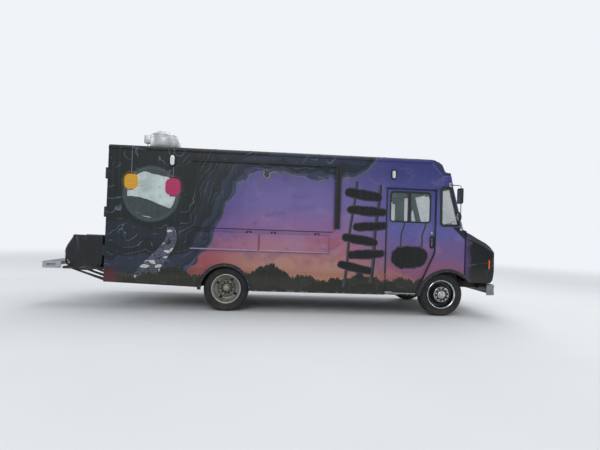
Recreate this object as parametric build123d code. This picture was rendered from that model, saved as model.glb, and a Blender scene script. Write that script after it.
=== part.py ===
from build123d import *
import math
import os

# Food truck: a step van with a walk-in kitchen body, millimetres.
# +X is forward, +Y is the driver's side, +Z is up.
# The origin is on the ground, at the middle of the overall box.

# Overall places, measured forward from the front axle
NOSE_TIP = 1020
PLANK_TIP = -7208
WHEELBASE = 3988
REAR_WALL = -6129
CAB_SEAM = -1102

FRONT_X = -(NOSE_TIP + PLANK_TIP) / 2
REAR_X = FRONT_X - WHEELBASE


def fx(place):
    """Distance from the front axle to a place along the truck's own X."""
    return FRONT_X + place


# Body shell
HALF_W = 1170
WALL = 40
INNER = HALF_W - WALL
SKIN = 18
ROOF_Z = 2915
ROOF_EDGE_Z = ROOF_Z - 77
ROOF_PROUD = 6
ROOF_T = 28
ROOF_CROWN = 22
SKIRT_Z = 385
TAIL_SKIRT_Z = 482
TAIL_SKIRT_START_Z = 428
FLOOR_Z = 800
FLOOR_T = 40
RUN = 0.3
SEAM = 3

# Wheels and steering
TYRE_R = 405
TYRE_W = 225
RIM_R = 262
BEAD_R = 246
AXLE_Z = TYRE_R
TWIN_GAP = 35
TYRE_OUT_Y = HALF_W - 58
FRONT_Y = TYRE_OUT_Y - TYRE_W / 2
REAR_OUT_Y = TYRE_OUT_Y - TYRE_W / 2
REAR_IN_Y = REAR_OUT_Y - TYRE_W - TWIN_GAP
KINGPIN_Y = HALF_W - 325
KINGPIN_R = 20
ARM_BACK = 190
ROD_FREE = 0.6
TIE_Z = AXLE_Z - 40
SPINDLE_R = 30
HUB_BORE = SPINDLE_R + RUN

# Wheel arches in the side panels
REAR_ARCH_R = 424
REAR_ARCH_X = -4013
REAR_ARCH_Z = 385
FRONT_ARCH_R = 522
FRONT_ARCH_X = 90
FRONT_ARCH_Z = 305
FLARE_W = 56
FLARE_OUT = 26

# Chassis
RAIL_TOP = FLOOR_Z - FLOOR_T
RAIL_H = 170
RAIL_OUT_Y = 432
RAIL_FLANGE = 66
RAIL_T = 9
RAIL_FRONT = 800
RAIL_REAR = -6080
SPRING_Y = RAIL_OUT_Y - RAIL_FLANGE / 2
SPRING_W = 62

# Serving hatch and fold-down shelves on the kerb side
HATCH_X0 = -4620
HATCH_X1 = -2096
HATCH_Z0 = 1500
HATCH_Z1 = ROOF_Z - 260
HATCH_LAP = 26
HATCH_PROUD = 13
HATCH_AXIS_OUT = 22
SHELF_TOP = 1424
SHELF_BOTTOM = 1110
SHELF_T = 20
SHELF_AXIS_OUT = 16
SHELF_AXIS_Z = SHELF_TOP + 18
SHELF_SPANS = ((-4649, -3443), (-3403, -2168))
SHELF_HINGES = ((-4426, -3613), (-3172, -2380))
HINGE_PIN_R = 5

# Cab doors, which slide back inside the body walls
DOOR_X0 = CAB_SEAM
DOOR_X1 = -170
DOOR_KNEE_Z = 1178
DOOR_FOOT_X = -500
DOOR_Z0 = 430
DOOR_Z1 = ROOF_Z - 575
DOOR_T = 36
DOOR_IN = 26
DOOR_GAP = 6
DOOR_TRAVEL = 700
DOOR_LAP = 24
DOOR_Y0 = -HALF_W + DOOR_IN
DOOR_Y1 = DOOR_Y0 + DOOR_T
WINDOW_X0 = -1025
WINDOW_X1 = -270
WINDOW_Z0 = 1735
WINDOW_Z1 = DOOR_Z1 - 50
WINDOW_POST_X = -664
WINDOW_POST_W = 55
GLASS_T = 6

# Nose and cab front outline in side view, x forward of the axle and z above ground
CAB_TOP_X = -262
WINDSCREEN_TOP = (138, ROOF_Z - 479)
WINDSCREEN_FOOT = (361, 1624)
COWL = (436, 1604)
NOSE_SEAM_X = 400
NOSE_BOTTOM = 643
NOSE_POINTS = (COWL, (576, 1542), (696, 1469), (857, 1389), (938, 1315), (968, 1240), (972, 859), (950, 705),
               (905, 646))
# The cap's profile, x forward of the axle and drop below the roof
CAP_DROPS = ((CAB_TOP_X, 0), (-202, 10), (-58, 89), (-18, 203), (8, 231), (93, 243), (130, 425))
CAP_POINTS = [(x, ROOF_Z - drop) for x, drop in CAP_DROPS]
PANEL = 36
HOOD_HALF_W = HALF_W - 390
HOOD_X0 = 470
HOOD_X1 = 840
HOOD_GAP = 6


def block(x0, x1, y0, y1, z0, z1):
    """A box between two corners."""
    size = Box(abs(x1 - x0), abs(y1 - y0), abs(z1 - z0))
    return Pos((x0 + x1) / 2, (y0 + y1) / 2, (z0 + z1) / 2) * size


def plate_xz(points, y0, y1):
    """A flat plate with its outline in side view, from y0 to y1."""
    outline = [(fx(x), z) for x, z in points]
    plane = Plane.XZ.offset(-min(y0, y1))
    face = make_face(plane * Polyline(*outline, close=True))
    return extrude(face, amount=abs(y1 - y0), dir=(0, 1, 0))


def plate_yz(points, x0, x1):
    """A flat plate with its outline in end view, from x0 to x1."""
    plane = Plane.YZ.offset(min(x0, x1))
    face = make_face(plane * Polyline(*points, close=True))
    return extrude(face, amount=abs(x1 - x0), dir=(1, 0, 0))


def rod_x(x0, x1, y, z, r):
    """A round bar along X."""
    return Pos((x0 + x1) / 2, y, z) * Rot(0, 90, 0) * Cylinder(r, abs(x1 - x0))


def rod_y(x, y0, y1, z, r):
    """A round bar along Y."""
    return Pos(x, (y0 + y1) / 2, z) * Rot(90, 0, 0) * Cylinder(r, abs(y1 - y0))


def rod_z(x, y, z0, z1, r):
    """A round bar along Z."""
    return Pos(x, y, (z0 + z1) / 2) * Cylinder(r, abs(z1 - z0))


def turned(points, y_centre, x, z, side):
    """A form turned about a wheel's axle. Points are radius and distance outboard."""
    face = make_face(Polyline(*[(r, side * out) for r, out in points], close=True))
    return Pos(x, y_centre, z) * revolve(face, axis=Axis.Y)


def other_side(shape):
    """The same shape on the other side of the truck."""
    return mirror(shape, about=Plane.XZ)


def rounded(shape, axis, radius):
    """Rounds every edge that runs along an axis."""
    return fillet(shape.edges().filter_by(axis), radius)


NOSE_FALL = 0.6
BEVEL_OVER = 0.15


def bevel_wedge(table, inset):
    """The corner that a bevel takes off the right side, moved in by a wall's thickness for the room inside.

    The table's columns are x, height of the top edge, height of the lower edge, and reach inwards.
    """
    sections = []
    side = -HALF_W + inset
    drop = inset * NOSE_FALL
    for x, top, low, reach in table:
        out = side - BEVEL_OVER * reach
        rise = BEVEL_OVER * (top - low)
        inner = side + reach * (1 + BEVEL_OVER)
        points = ((out, low - drop - rise), (inner, top - drop + rise), (out, top + 60))
        sections.append(Wire.make_polygon([Vector(fx(x), y, z) for y, z in points], close=True))
    return Solid.make_loft(sections, True)


def door_opening(grow):
    """Outline of the door opening, grown by a gap."""
    return ((DOOR_X0 - grow, DOOR_Z0 - grow), (DOOR_FOOT_X + grow, DOOR_Z0 - grow),
            (DOOR_X1 + grow, DOOR_KNEE_Z - grow * 0.4), (DOOR_X1 + grow, DOOR_Z1 + grow),
            (DOOR_X0 - grow, DOOR_Z1 + grow))


parts = {}


# Chassis: two channel rails, cross-members, tow eye and jacking pads
def make_chassis():
    bottom = RAIL_TOP - RAIL_H
    rail = block(fx(RAIL_REAR), fx(RAIL_FRONT), RAIL_OUT_Y - RAIL_FLANGE, RAIL_OUT_Y, bottom, RAIL_TOP)
    rail -= block(fx(RAIL_REAR), fx(RAIL_FRONT), RAIL_OUT_Y - RAIL_FLANGE, RAIL_OUT_Y - RAIL_T,
                  bottom + RAIL_T, RAIL_TOP - RAIL_T)
    frame = rail + other_side(rail)
    for place in CROSS_MEMBERS:
        frame += block(fx(place), fx(place) + 90, RAIL_T - RAIL_OUT_Y, RAIL_OUT_Y - RAIL_T,
                       RAIL_TOP - 90, RAIL_TOP - RAIL_T)
    eye = block(fx(RAIL_FRONT), fx(RAIL_FRONT) + TOW_EYE_L, -TOW_EYE_W, TOW_EYE_W, bottom + 20, bottom + 50)
    eye += block(fx(RAIL_FRONT) - 90, fx(RAIL_FRONT), RAIL_T - RAIL_OUT_Y, RAIL_OUT_Y - RAIL_T,
                 bottom + RAIL_T, bottom + 90)
    eye -= rod_z(fx(RAIL_FRONT) + TOW_EYE_L - TOW_EYE_W, 0, bottom, bottom + 80, TOW_EYE_R)
    pad = block(fx(JACK_X) - JACK_HALF, fx(JACK_X) + JACK_HALF, RAIL_OUT_Y - RAIL_FLANGE, RAIL_OUT_Y,
                bottom - JACK_T, bottom)
    return frame + eye + pad + other_side(pad)


CROSS_MEMBERS = (-5900, -4700, -3200, -2300, -1500)
TOW_EYE_L = 110
TOW_EYE_W = 45
TOW_EYE_R = 22
JACK_X = -3000
JACK_HALF = 60
JACK_T = 12
parts["chassis_frame"] = make_chassis()

# Front axle beam with a boss for each kingpin
BOSS_R = 44
BEAM_Z0 = AXLE_Z - 85
BEAM_Z1 = AXLE_Z + 5
ARM_SWEEP_R = 135


def make_front_axle():
    beam = block(FRONT_X - 42, FRONT_X + 42, -KINGPIN_Y, KINGPIN_Y, BEAM_Z0, BEAM_Z1)
    for side in (-1, 1):
        beam += rod_z(FRONT_X, side * KINGPIN_Y, AXLE_Z - 55, AXLE_Z + 55, BOSS_R)
        beam -= rod_z(FRONT_X, side * KINGPIN_Y, 0, RAIL_TOP, KINGPIN_R + 0.05)
        ring = rod_z(FRONT_X, side * KINGPIN_Y, AXLE_Z - 95, AXLE_Z - 55, ARM_SWEEP_R)
        beam -= ring
    return beam


parts["front_axle"] = make_front_axle()

# Rear axle tube, round housing in the middle and a hub spindle at each end
HOUSING_R = 190
HOUSING_W = 260
TUBE_R = 58
REAR_SPINDLE_END = TYRE_OUT_Y - 120


def make_rear_axle():
    tube = rod_y(REAR_X, -560, 560, AXLE_Z, TUBE_R)
    housing = rod_y(REAR_X, -HOUSING_W / 2, HOUSING_W / 2, AXLE_Z, HOUSING_R)
    housing = chamfer(housing.edges(), 45)
    pinion = rod_x(REAR_X, REAR_X + 330, 0, AXLE_Z, 70)
    spindle = rod_y(REAR_X, -REAR_SPINDLE_END, REAR_SPINDLE_END, AXLE_Z, SPINDLE_R)
    return tube + housing + pinion + spindle


parts["rear_axle"] = make_rear_axle()

# Leaf springs: one bowed pack at each wheel, hung from the rails
SPRINGS = (
    # axle x, seat z, half length, number of leaves
    (FRONT_X, BEAM_Z1, 600, 4),
    (REAR_X, AXLE_Z + TUBE_R, 680, 6),
)
BLADE_T = 12
SHACKLE_DROP = 24
CLAMP_HALF = 75


def leaf_strip(axle, centre_z, radius, half):
    """One leaf: a strip between two arcs about a centre above the axle."""
    near = math.asin(half / radius)
    thin = (centre_z - radius, centre_z - radius - BLADE_T)
    rise = radius * (1 - math.cos(near))
    upper = ThreePointArc((axle - half, thin[0] + rise), (axle, thin[0]), (axle + half, thin[0] + rise))
    lower = ThreePointArc((axle + half, thin[1] + rise), (axle, thin[1]), (axle - half, thin[1] + rise))
    ends = Line(upper @ 1, lower @ 0) + Line(lower @ 1, upper @ 0)
    plane = Plane.XZ.offset(-SPRING_Y + SPRING_W / 2)
    return extrude(make_face(plane * (upper + lower + ends)), amount=SPRING_W, dir=(0, 1, 0))


def leaf_pack(axle, seat, half, leaves):
    """Leaves that get shorter downwards, a clamp on the axle and a shackle at each end."""
    top = RAIL_TOP - RAIL_H
    ends = top - SHACKLE_DROP
    middle = seat + leaves * BLADE_T
    rise = ends - middle
    radius = (half ** 2 + rise ** 2) / (2 * rise)
    y0 = SPRING_Y - SPRING_W / 2
    y1 = SPRING_Y + SPRING_W / 2
    pack = block(axle - CLAMP_HALF, axle + CLAMP_HALF, y0, y1, seat, middle + BLADE_T)
    for leaf in range(leaves):
        reach = half * (1 - 0.8 * leaf / leaves)
        pack += leaf_strip(axle, middle + radius - leaf * BLADE_T, radius, reach)
    for end in (-1, 1):
        pack += block(axle + end * half - 30, axle + end * half + 30, y0 + 6, y1 - 6, ends - 26, top)
    return pack


def make_springs():
    packs = []
    for axle, seat, half, leaves in SPRINGS:
        pack = leaf_pack(axle, seat, half, leaves)
        packs += [pack, other_side(pack)]
    return Compound(children=[p.solid() for p in packs])


parts["leaf_springs"] = make_springs()

# Engine and gearbox as one plain mass, and the shaft back to the axle
ENGINE_X0 = -700
ENGINE_X1 = 300
ENGINE_Z0 = BEAM_Z1 + 60
ENGINE_Z1 = 1120
DOGHOUSE_HALF = HALF_W - 840
DOGHOUSE_X0 = -760
ENGINE_HALF = DOGHOUSE_HALF - 60
GEARBOX_X0 = -1350


def make_engine():
    engine = block(fx(ENGINE_X0), fx(ENGINE_X1), -ENGINE_HALF, ENGINE_HALF, 560, ENGINE_Z1)
    engine = chamfer(engine.edges().filter_by(Axis.X).group_by(Axis.Z)[-1], 90)
    sump = block(fx(ENGINE_X0) + 120, fx(ENGINE_X1) - 160, -150, 150, ENGINE_Z0, 560)
    box = rod_x(fx(GEARBOX_X0), fx(ENGINE_X0), 0, 590, 120)
    return engine + sump + box


parts["engine_block"] = make_engine()


def make_drive_shaft():
    start = Vector(fx(GEARBOX_X0), 0, 590)
    end = Vector(REAR_X + 330, 0, AXLE_Z)
    run = end - start
    shaft = Plane(origin=start, z_dir=run) * Pos(0, 0, run.length / 2) * Cylinder(42, run.length + 60)
    shaft -= block(fx(GEARBOX_X0), fx(ENGINE_X0), -200, 200, 400, 800)
    shaft -= block(REAR_X, REAR_X + 330, -200, 200, 200, 700)
    return shaft


parts["drive_shaft"] = make_drive_shaft()

# Fuel tank under the floor on the kerb side, hung from the rail by two straps
TANK_X0 = -2900
TANK_X1 = -1900
TANK_Z0 = 430
TANK_Z1 = 730
TANK_OUT_Y = HALF_W - 130
TANK_IN_Y = RAIL_OUT_Y + 30
STRAP_T = 6
STRAP_W = 60


def make_tank():
    tank = block(fx(TANK_X0), fx(TANK_X1), -TANK_OUT_Y, -TANK_IN_Y, TANK_Z0, TANK_Z1)
    tank = rounded(tank, Axis.X, 60)
    for place in (TANK_X0 + 180, TANK_X1 - 180 - STRAP_W):
        x0 = fx(place)
        x1 = fx(place) + STRAP_W
        strap = block(x0, x1, -TANK_OUT_Y - STRAP_T, -RAIL_OUT_Y, TANK_Z0 - STRAP_T, RAIL_TOP)
        strap -= block(x0, x1, -TANK_OUT_Y, -TANK_IN_Y, TANK_Z0, RAIL_TOP)
        tank += strap + block(x0, x1, -TANK_IN_Y, -RAIL_OUT_Y, RAIL_TOP - 120, RAIL_TOP - 60)
    return tank


parts["fuel_tank"] = make_tank()

# Exhaust: pipe along the driver's side, silencer and a tail turned out under the skirt
PIPE_R = 32
PIPE_Y = RAIL_OUT_Y + 208
EXHAUST_ROUTE = ((-400, 250, 600), (-640, 330, 505), (-980, PIPE_Y, 500), (-2560, PIPE_Y, 500),
                 (-2800, PIPE_Y + 160, 460), (-2900, HALF_W - 90, 330))


def make_exhaust():
    points = [Vector(fx(x), y, z) for x, y, z in EXHAUST_ROUTE]
    path = FilletPolyline(*points, radius=90)
    start = Plane(origin=path @ 0, z_dir=path % 0)
    pipe = sweep(start * Circle(PIPE_R), path=path)
    pipe += rod_x(fx(-2400), fx(-1600), PIPE_Y, 500, 105)
    pipe -= block(fx(ENGINE_X0), fx(ENGINE_X1), -ENGINE_HALF, ENGINE_HALF, 400, 1000)
    for place in (-2350, -1700):
        pipe += block(fx(place), fx(place) + 40, RAIL_OUT_Y, PIPE_Y - 40, 590, 616)
    return pipe


parts["exhaust"] = make_exhaust()

# Radiator behind the grille, standing on the rails
RADIATOR_X0 = 560


def make_radiator():
    core = block(fx(RADIATOR_X0), fx(RADIATOR_X0 + 80), -400, 400, RAIL_TOP, 1330)
    return core + block(fx(RADIATOR_X0 - 20), fx(RADIATOR_X0 + 100), -420, 420, 1250, 1330)


parts["radiator"] = make_radiator()

# Floor with the engine hatch hole, rear wheel boxes and entrance steps
WELL_X0 = -1060
WELL_X1 = -560
WELL_IN = HALF_W - 370
WELL_T = 12
WELL_Z = 452
REAR_BOX_HALF = 520
REAR_BOX_IN = REAR_IN_Y - TYRE_W / 2 - 27
REAR_BOX_TOP = 900
FLOOR_FRONT = NOSE_SEAM_X - PANEL


def make_floor():
    top = FLOOR_Z
    floor = block(fx(REAR_WALL + WALL), fx(FLOOR_FRONT), -INNER, INNER, top - FLOOR_T, top)
    floor -= block(fx(DOGHOUSE_X0), fx(FLOOR_FRONT), -DOGHOUSE_HALF, DOGHOUSE_HALF, 700, 900)
    for side in (-1, 1):
        outer = side * INNER
        x0 = REAR_X - REAR_BOX_HALF
        x1 = REAR_X + REAR_BOX_HALF
        floor += block(x0 - WELL_T, x1 + WELL_T, side * (REAR_BOX_IN - WELL_T), outer, top - FLOOR_T,
                       REAR_BOX_TOP + WELL_T)
        floor -= block(x0, x1, side * REAR_BOX_IN, outer, 600, REAR_BOX_TOP)
        # The sliding door leaves room for the well only inboard of its own plane
        well_out = side * (HALF_W - DOOR_IN - DOOR_T - DOOR_GAP)
        w0 = fx(WELL_X0)
        w1 = fx(WELL_X1)
        floor += block(w0 - WELL_T, w1 + WELL_T, side * (WELL_IN - WELL_T), well_out,
                       WELL_Z - WELL_T, top - FLOOR_T)
        floor -= block(w0, w1, side * WELL_IN, outer, WELL_Z, top + 10)
        # Room for the doors, which pass beside the floor's edge
        floor -= block(fx(CAB_SEAM - DOOR_TRAVEL - 60), fx(FLOOR_FRONT), well_out, outer, 300, 950)
    return floor


# The front wheels turn inside arched housings under the cab floor
HOUSE_HALF = 512
HOUSE_IN = HALF_W - 542
HOUSE_T = 10
HOUSE_TOP = 872


def make_front_house():
    x0 = FRONT_X - HOUSE_HALF
    x1 = FRONT_X + HOUSE_HALF
    house = block(x0 - HOUSE_T, x1, -INNER, -HOUSE_IN + HOUSE_T, 600, HOUSE_TOP + HOUSE_T)
    house = chamfer(house.edges().filter_by(Axis.Y).group_by(Axis.Z)[-1], 130)
    room = block(x0, x1, -INNER, -HOUSE_IN, 500, HOUSE_TOP)
    room = chamfer(room.edges().filter_by(Axis.Y).group_by(Axis.Z)[-1], 130)
    house -= room
    house -= block(x1 - 20, x1 + 20, -INNER, 0, 500, 1000)
    return house - plate_xz(door_opening(DOOR_GAP), -HALF_W, DOOR_Y1 + DOOR_GAP)


floor = make_floor()
front_house = make_front_house()
clear_house = block(FRONT_X - HOUSE_HALF - HOUSE_T, FRONT_X + HOUSE_HALF, -INNER, -HOUSE_IN + HOUSE_T,
                    300, 960)
floor = floor - clear_house - other_side(clear_house)
parts["floor"] = floor
parts["front_wheel_houses"] = Compound(children=[front_house.solid(), other_side(front_house).solid()])

# Body walls, with the rub rail ribs at floor level
RIB_Z = (668, 708, 748)
RIB_H = 22
RIB_OUT = 9
BELT_Z = 1262
POCKET_LONG = DOOR_TRAVEL + DOOR_LAP + 20


def make_wall(kerb_side):
    """The right wall when kerb_side is true, else the plain left wall, still on the right."""
    outline = ((REAR_WALL, TAIL_SKIRT_Z), (REAR_ARCH_X - REAR_ARCH_R - 60, TAIL_SKIRT_START_Z),
               (REAR_ARCH_X - REAR_ARCH_R - 60, SKIRT_Z), (CAB_SEAM, SKIRT_Z),
               (CAB_SEAM, ROOF_EDGE_Z + 40), (REAR_WALL, ROOF_EDGE_Z + 40))
    wall = plate_xz(outline, -HALF_W, -INNER)
    for z in RIB_Z:
        wall += block(fx(REAR_WALL), fx(CAB_SEAM), -HALF_W - RIB_OUT, -HALF_W, z, z + RIB_H)
    wall += block(fx(REAR_WALL), fx(CAB_SEAM), -HALF_W - 3, -HALF_W, BELT_Z, BELT_Z + 14)
    wall -= rod_y(fx(REAR_ARCH_X), -HALF_W - 60, -INNER + 60, REAR_ARCH_Z, REAR_ARCH_R)
    wall -= block(fx(CAB_SEAM - POCKET_LONG), fx(CAB_SEAM), -HALF_W + SKIN, -INNER,
                  DOOR_Z0 - DOOR_GAP, DOOR_Z1 + DOOR_GAP)
    if kerb_side:
        wall -= block(fx(HATCH_X0 + HATCH_LAP), fx(HATCH_X1 - HATCH_LAP), -HALF_W - 1, -INNER + 1,
                      HATCH_Z0 + HATCH_LAP, HATCH_Z1 - 12)
    return wall


parts["wall_right"] = make_wall(True)
parts["wall_left"] = other_side(make_wall(False))

# Roof: one crowned sheet with an edge cap that laps over the walls
def make_roof():
    half = HALF_W + ROOF_PROUD
    top = ThreePointArc((-half + 40, ROOF_Z), (0, ROOF_Z + ROOF_CROWN), (half - 40, ROOF_Z))
    rest = Polyline((half - 40, ROOF_Z), (half, ROOF_Z - 34), (half, ROOF_EDGE_Z), (HALF_W, ROOF_EDGE_Z),
                    (HALF_W, ROOF_EDGE_Z + 40), (-HALF_W, ROOF_EDGE_Z + 40), (-HALF_W, ROOF_EDGE_Z),
                    (-half, ROOF_EDGE_Z), (-half, ROOF_Z - 34), (-half + 40, ROOF_Z))
    plane = Plane.YZ.offset(fx(REAR_WALL))
    roof = extrude(make_face(plane * (top + rest)), amount=CAB_TOP_X - REAR_WALL, dir=(1, 0, 0))
    under = block(fx(REAR_WALL + WALL), fx(CAB_TOP_X), -INNER, INNER, ROOF_EDGE_Z, ROOF_Z - ROOF_T)
    return roof - under


parts["roof"] = make_roof()

# Cab side panels: door opening, quarter window and wheel arch
QUARTER = ((-78, ROOF_Z - 518), (108, ROOF_Z - 507), (287, 1703), (-66, 1690))
QUARTER_R = 46


def cab_outline():
    front = [p for p in CAP_POINTS if p[0] > -150]
    lower = [WINDSCREEN_TOP, WINDSCREEN_FOOT, (NOSE_SEAM_X, COWL[1] + 10), (NOSE_SEAM_X, SKIRT_Z),
             (CAB_SEAM, SKIRT_Z)]
    return [(CAB_SEAM, ROOF_EDGE_Z + 40), (-132, ROOF_EDGE_Z + 40)] + front + lower


# Bevel of the cap's corners, in the columns that bevel_wedge names. It stays within the side panel.
BEVEL_IN = WALL - 4
CAP_BEVEL = ((CAB_TOP_X - 2, ROOF_Z, ROOF_Z - 92, BEVEL_IN), (-127, ROOF_Z - 51, ROOF_Z - 249, BEVEL_IN),
             (-50, ROOF_Z - 112, ROOF_Z - 311, BEVEL_IN), (104, ROOF_Z - 290, ROOF_Z - 306, BEVEL_IN / 3))


def make_cab_side():
    side = plate_xz(cab_outline(), -HALF_W, -INNER)
    side -= bevel_wedge(CAP_BEVEL, 0)
    side -= plate_xz(door_opening(0), -HALF_W - 1, -INNER + 1)
    window = plate_xz(QUARTER, -HALF_W - 1, -INNER + 1)
    side -= rounded(window, Axis.Y, QUARTER_R)
    side -= rod_y(fx(FRONT_ARCH_X), -HALF_W - 60, -INNER + 60, FRONT_ARCH_Z, FRONT_ARCH_R)
    side -= block(fx(FRONT_ARCH_X), fx(NOSE_SEAM_X) + 1, -HALF_W - 1, -INNER + 1, 0, NOSE_BOTTOM)
    return side


cab_side = make_cab_side()
parts["cab_side_right"] = cab_side
parts["cab_side_left"] = other_side(cab_side)

# Cab front between the side panels: cap, windscreen frame, cowl and bulkhead
GLASS_IN = 90
SCREEN_Z0 = 1672
SCREEN_Z1 = ROOF_Z - 515
SCREEN_POST = 36
# How far the inner face lies behind and below each point of the cap
CAP_INSETS = ((1, 36), (10, 36), (30, 26), (36, 12), (28, 34), (31, 38), (36, 10))


def make_cab_front():
    outer = CAP_POINTS + [WINDSCREEN_TOP, WINDSCREEN_FOOT, (NOSE_SEAM_X, COWL[1] + 10),
                          (NOSE_SEAM_X, RAIL_TOP), (CAB_TOP_X, RAIL_TOP)]
    shell = plate_xz(outer, -INNER, INNER)
    t = PANEL
    cap = [(x - back, ROOF_Z - drop - down) for (x, drop), (back, down) in zip(CAP_DROPS, CAP_INSETS)]
    inner = cap + [(WINDSCREEN_TOP[0] - t, WINDSCREEN_TOP[1] - 6),
                   (WINDSCREEN_FOOT[0] - t, WINDSCREEN_FOOT[1] - 8), (NOSE_SEAM_X - t, COWL[1] - 14),
                   (NOSE_SEAM_X - t, RAIL_TOP - 1), (CAB_TOP_X - 1, RAIL_TOP - 1)]
    shell -= plate_xz(inner, -INNER - 1, INNER + 1)
    shell -= block(fx(80), fx(420), -INNER + GLASS_IN, -SCREEN_POST, SCREEN_Z0, SCREEN_Z1)
    shell -= block(fx(80), fx(420), SCREEN_POST, INNER - GLASS_IN, SCREEN_Z0, SCREEN_Z1)
    for side in (-1, 1):
        shell -= block(fx(300), fx(420), side * (HOUSE_IN - HOUSE_T), side * INNER, 600, HOUSE_TOP + HOUSE_T)
    shell -= block(fx(300), fx(420), -RAIL_OUT_Y, RAIL_OUT_Y, 600, FLOOR_Z)
    return shell


parts["cab_front"] = make_cab_front()


# Windscreen panes and quarter panes
def screen_x(z, back):
    """Forward place of the windscreen's outer face at a height, less a depth behind it."""
    (x1, z1), (x0, z0) = WINDSCREEN_TOP, WINDSCREEN_FOOT
    return x0 + (x1 - x0) * (z - z0) / (z1 - z0) - back


def make_cab_glass():
    panes = []
    low, high = SCREEN_Z0, SCREEN_Z1
    outline = ((screen_x(low, 12), low), (screen_x(high, 12), high),
               (screen_x(high, 12 + GLASS_T), high), (screen_x(low, 12 + GLASS_T), low))
    for y0, y1 in ((-INNER + GLASS_IN, -SCREEN_POST), (SCREEN_POST, INNER - GLASS_IN)):
        panes.append(plate_xz(outline, y0, y1))
    quarter = rounded(plate_xz(QUARTER, -HALF_W + 12, -HALF_W + 12 + GLASS_T), Axis.Y, QUARTER_R)
    panes += [quarter, other_side(quarter)]
    return Compound(children=[p.solid() for p in panes])


parts["cab_glass"] = make_cab_glass()

# Nose shell in front of the cab, with openings for the hood lid, grille and headlamps
NOSE_CORNER = 90
GRILLE_HALF = HALF_W - 610
GRILLE_Z0 = 820
GRILLE_Z1 = 1200
LAMP_Y0 = HALF_W - 530
LAMP_Y1 = HALF_W - 160
LAMP_Z0 = 890
LAMP_Z1 = 1090
LAMP_X0 = 905
LAMP_X1 = 968
EYE_IN = 95
EYE_R = 82
EYE_OUT = 16
# The lamp and grille openings cut the nose's front face between these
OPENING_X0 = 900
OPENING_X1 = NOSE_TIP + 80


def nose_solid(inset):
    """The nose's outer form, or the room inside it when an inset is given."""
    front = [(x - inset, z - inset * NOSE_FALL) for x, z in NOSE_POINTS[:5]]
    face = [(x - inset, z) for x, z in NOSE_POINTS[5:]]
    outline = [(NOSE_SEAM_X, 1614 - inset)] + front + face + [(NOSE_SEAM_X, NOSE_BOTTOM)]
    solid = plate_xz(outline, -HALF_W + inset, HALF_W - inset)
    return solid


def hood_room(gap):
    return block(fx(HOOD_X0 - gap), fx(HOOD_X1 + gap), -HOOD_HALF_W - gap, HOOD_HALF_W + gap, 1200, 1700)


HOOD_HINGES = (-480, 480)
HOOD_AXIS_X = fx(HOOD_X0 - HOOD_GAP / 2)
HOOD_AXIS_Z = 1602


def hood_pin(y):
    """A pin for the hood lid between two lugs on the cowl."""
    pin = rod_y(HOOD_AXIS_X, y - 48, y + 48, HOOD_AXIS_Z, 5)
    for low in (y - 48, y + 34):
        pin += block(HOOD_AXIS_X - 30, HOOD_AXIS_X + 6, low, low + 14, HOOD_AXIS_Z - 26, HOOD_AXIS_Z + 6)
        pin -= block(HOOD_AXIS_X + 0, HOOD_AXIS_X + 7, low - 1, low + 15, HOOD_AXIS_Z - 27, HOOD_AXIS_Z - 8)
    return pin


# Bevel along the nose's top side edges, in the columns that bevel_wedge names
NOSE_BEVEL = ((424, 1612, 1606, 6), (470, 1590, 1470, 130), (760, 1442, 1329, 120), (919, 1338, 1239, 100),
              (985, 1262, 1202, 70))
NOSE_T = 30


def nose_skin():
    outer = nose_solid(0)
    front = outer.edges().filter_by(Axis.Z).group_by(Axis.X)[-1]
    outer = fillet(front, NOSE_CORNER)
    room = nose_solid(NOSE_T)
    wedge = bevel_wedge(NOSE_BEVEL, 0)
    inner_wedge = bevel_wedge(NOSE_BEVEL, NOSE_T)
    outer -= wedge
    outer -= other_side(wedge)
    room -= inner_wedge
    room -= other_side(inner_wedge)
    return outer - room


def make_nose():
    skin = nose_skin()
    skin -= block(fx(NOSE_SEAM_X) - 1, fx(880), -INNER + 40, INNER - 40, 600, 720)
    arch = rod_y(fx(FRONT_ARCH_X), -HALF_W - 60, HALF_W + 60, FRONT_ARCH_Z, FRONT_ARCH_R)
    skin -= arch
    skin -= hood_room(HOOD_GAP)
    skin -= block(fx(OPENING_X0), fx(OPENING_X1), -GRILLE_HALF, GRILLE_HALF, GRILLE_Z0, GRILLE_Z1)
    for side in (-1, 1):
        skin -= block(fx(OPENING_X0), fx(OPENING_X1), side * LAMP_Y0, side * LAMP_Y1, LAMP_Z0, LAMP_Z1)
    for y in HOOD_HINGES:
        skin += hood_pin(y)
    # Inner rails that stand the shell on the chassis
    for side in (-1, 1):
        skin += block(fx(NOSE_SEAM_X), fx(940), side * 440, side * 470, 720, 800)
    return skin


skin = nose_skin()
parts["nose_shell"] = make_nose()


# Hood lid, hinged along its rear edge
def make_hood():
    lid = (skin & hood_room(0)).solid()
    for y in HOOD_HINGES:
        lid += rod_y(HOOD_AXIS_X, y - 30, y + 30, HOOD_AXIS_Z, 9)
        lid += block(HOOD_AXIS_X, HOOD_AXIS_X + 34, y - 30, y + 30, HOOD_AXIS_Z - 20, HOOD_AXIS_Z - 4)
        lid -= rod_y(HOOD_AXIS_X, y - 60, y + 60, HOOD_AXIS_Z, 5.05)
    return lid


parts["hood_lid"] = make_hood()

# Grille, headlamps and lamps
GRILLE_BARS = 7
GRILLE_X0 = LAMP_X1 - 30
GRILLE_X1 = LAMP_X1 - 2
GRILLE_FRAME = 24


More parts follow.
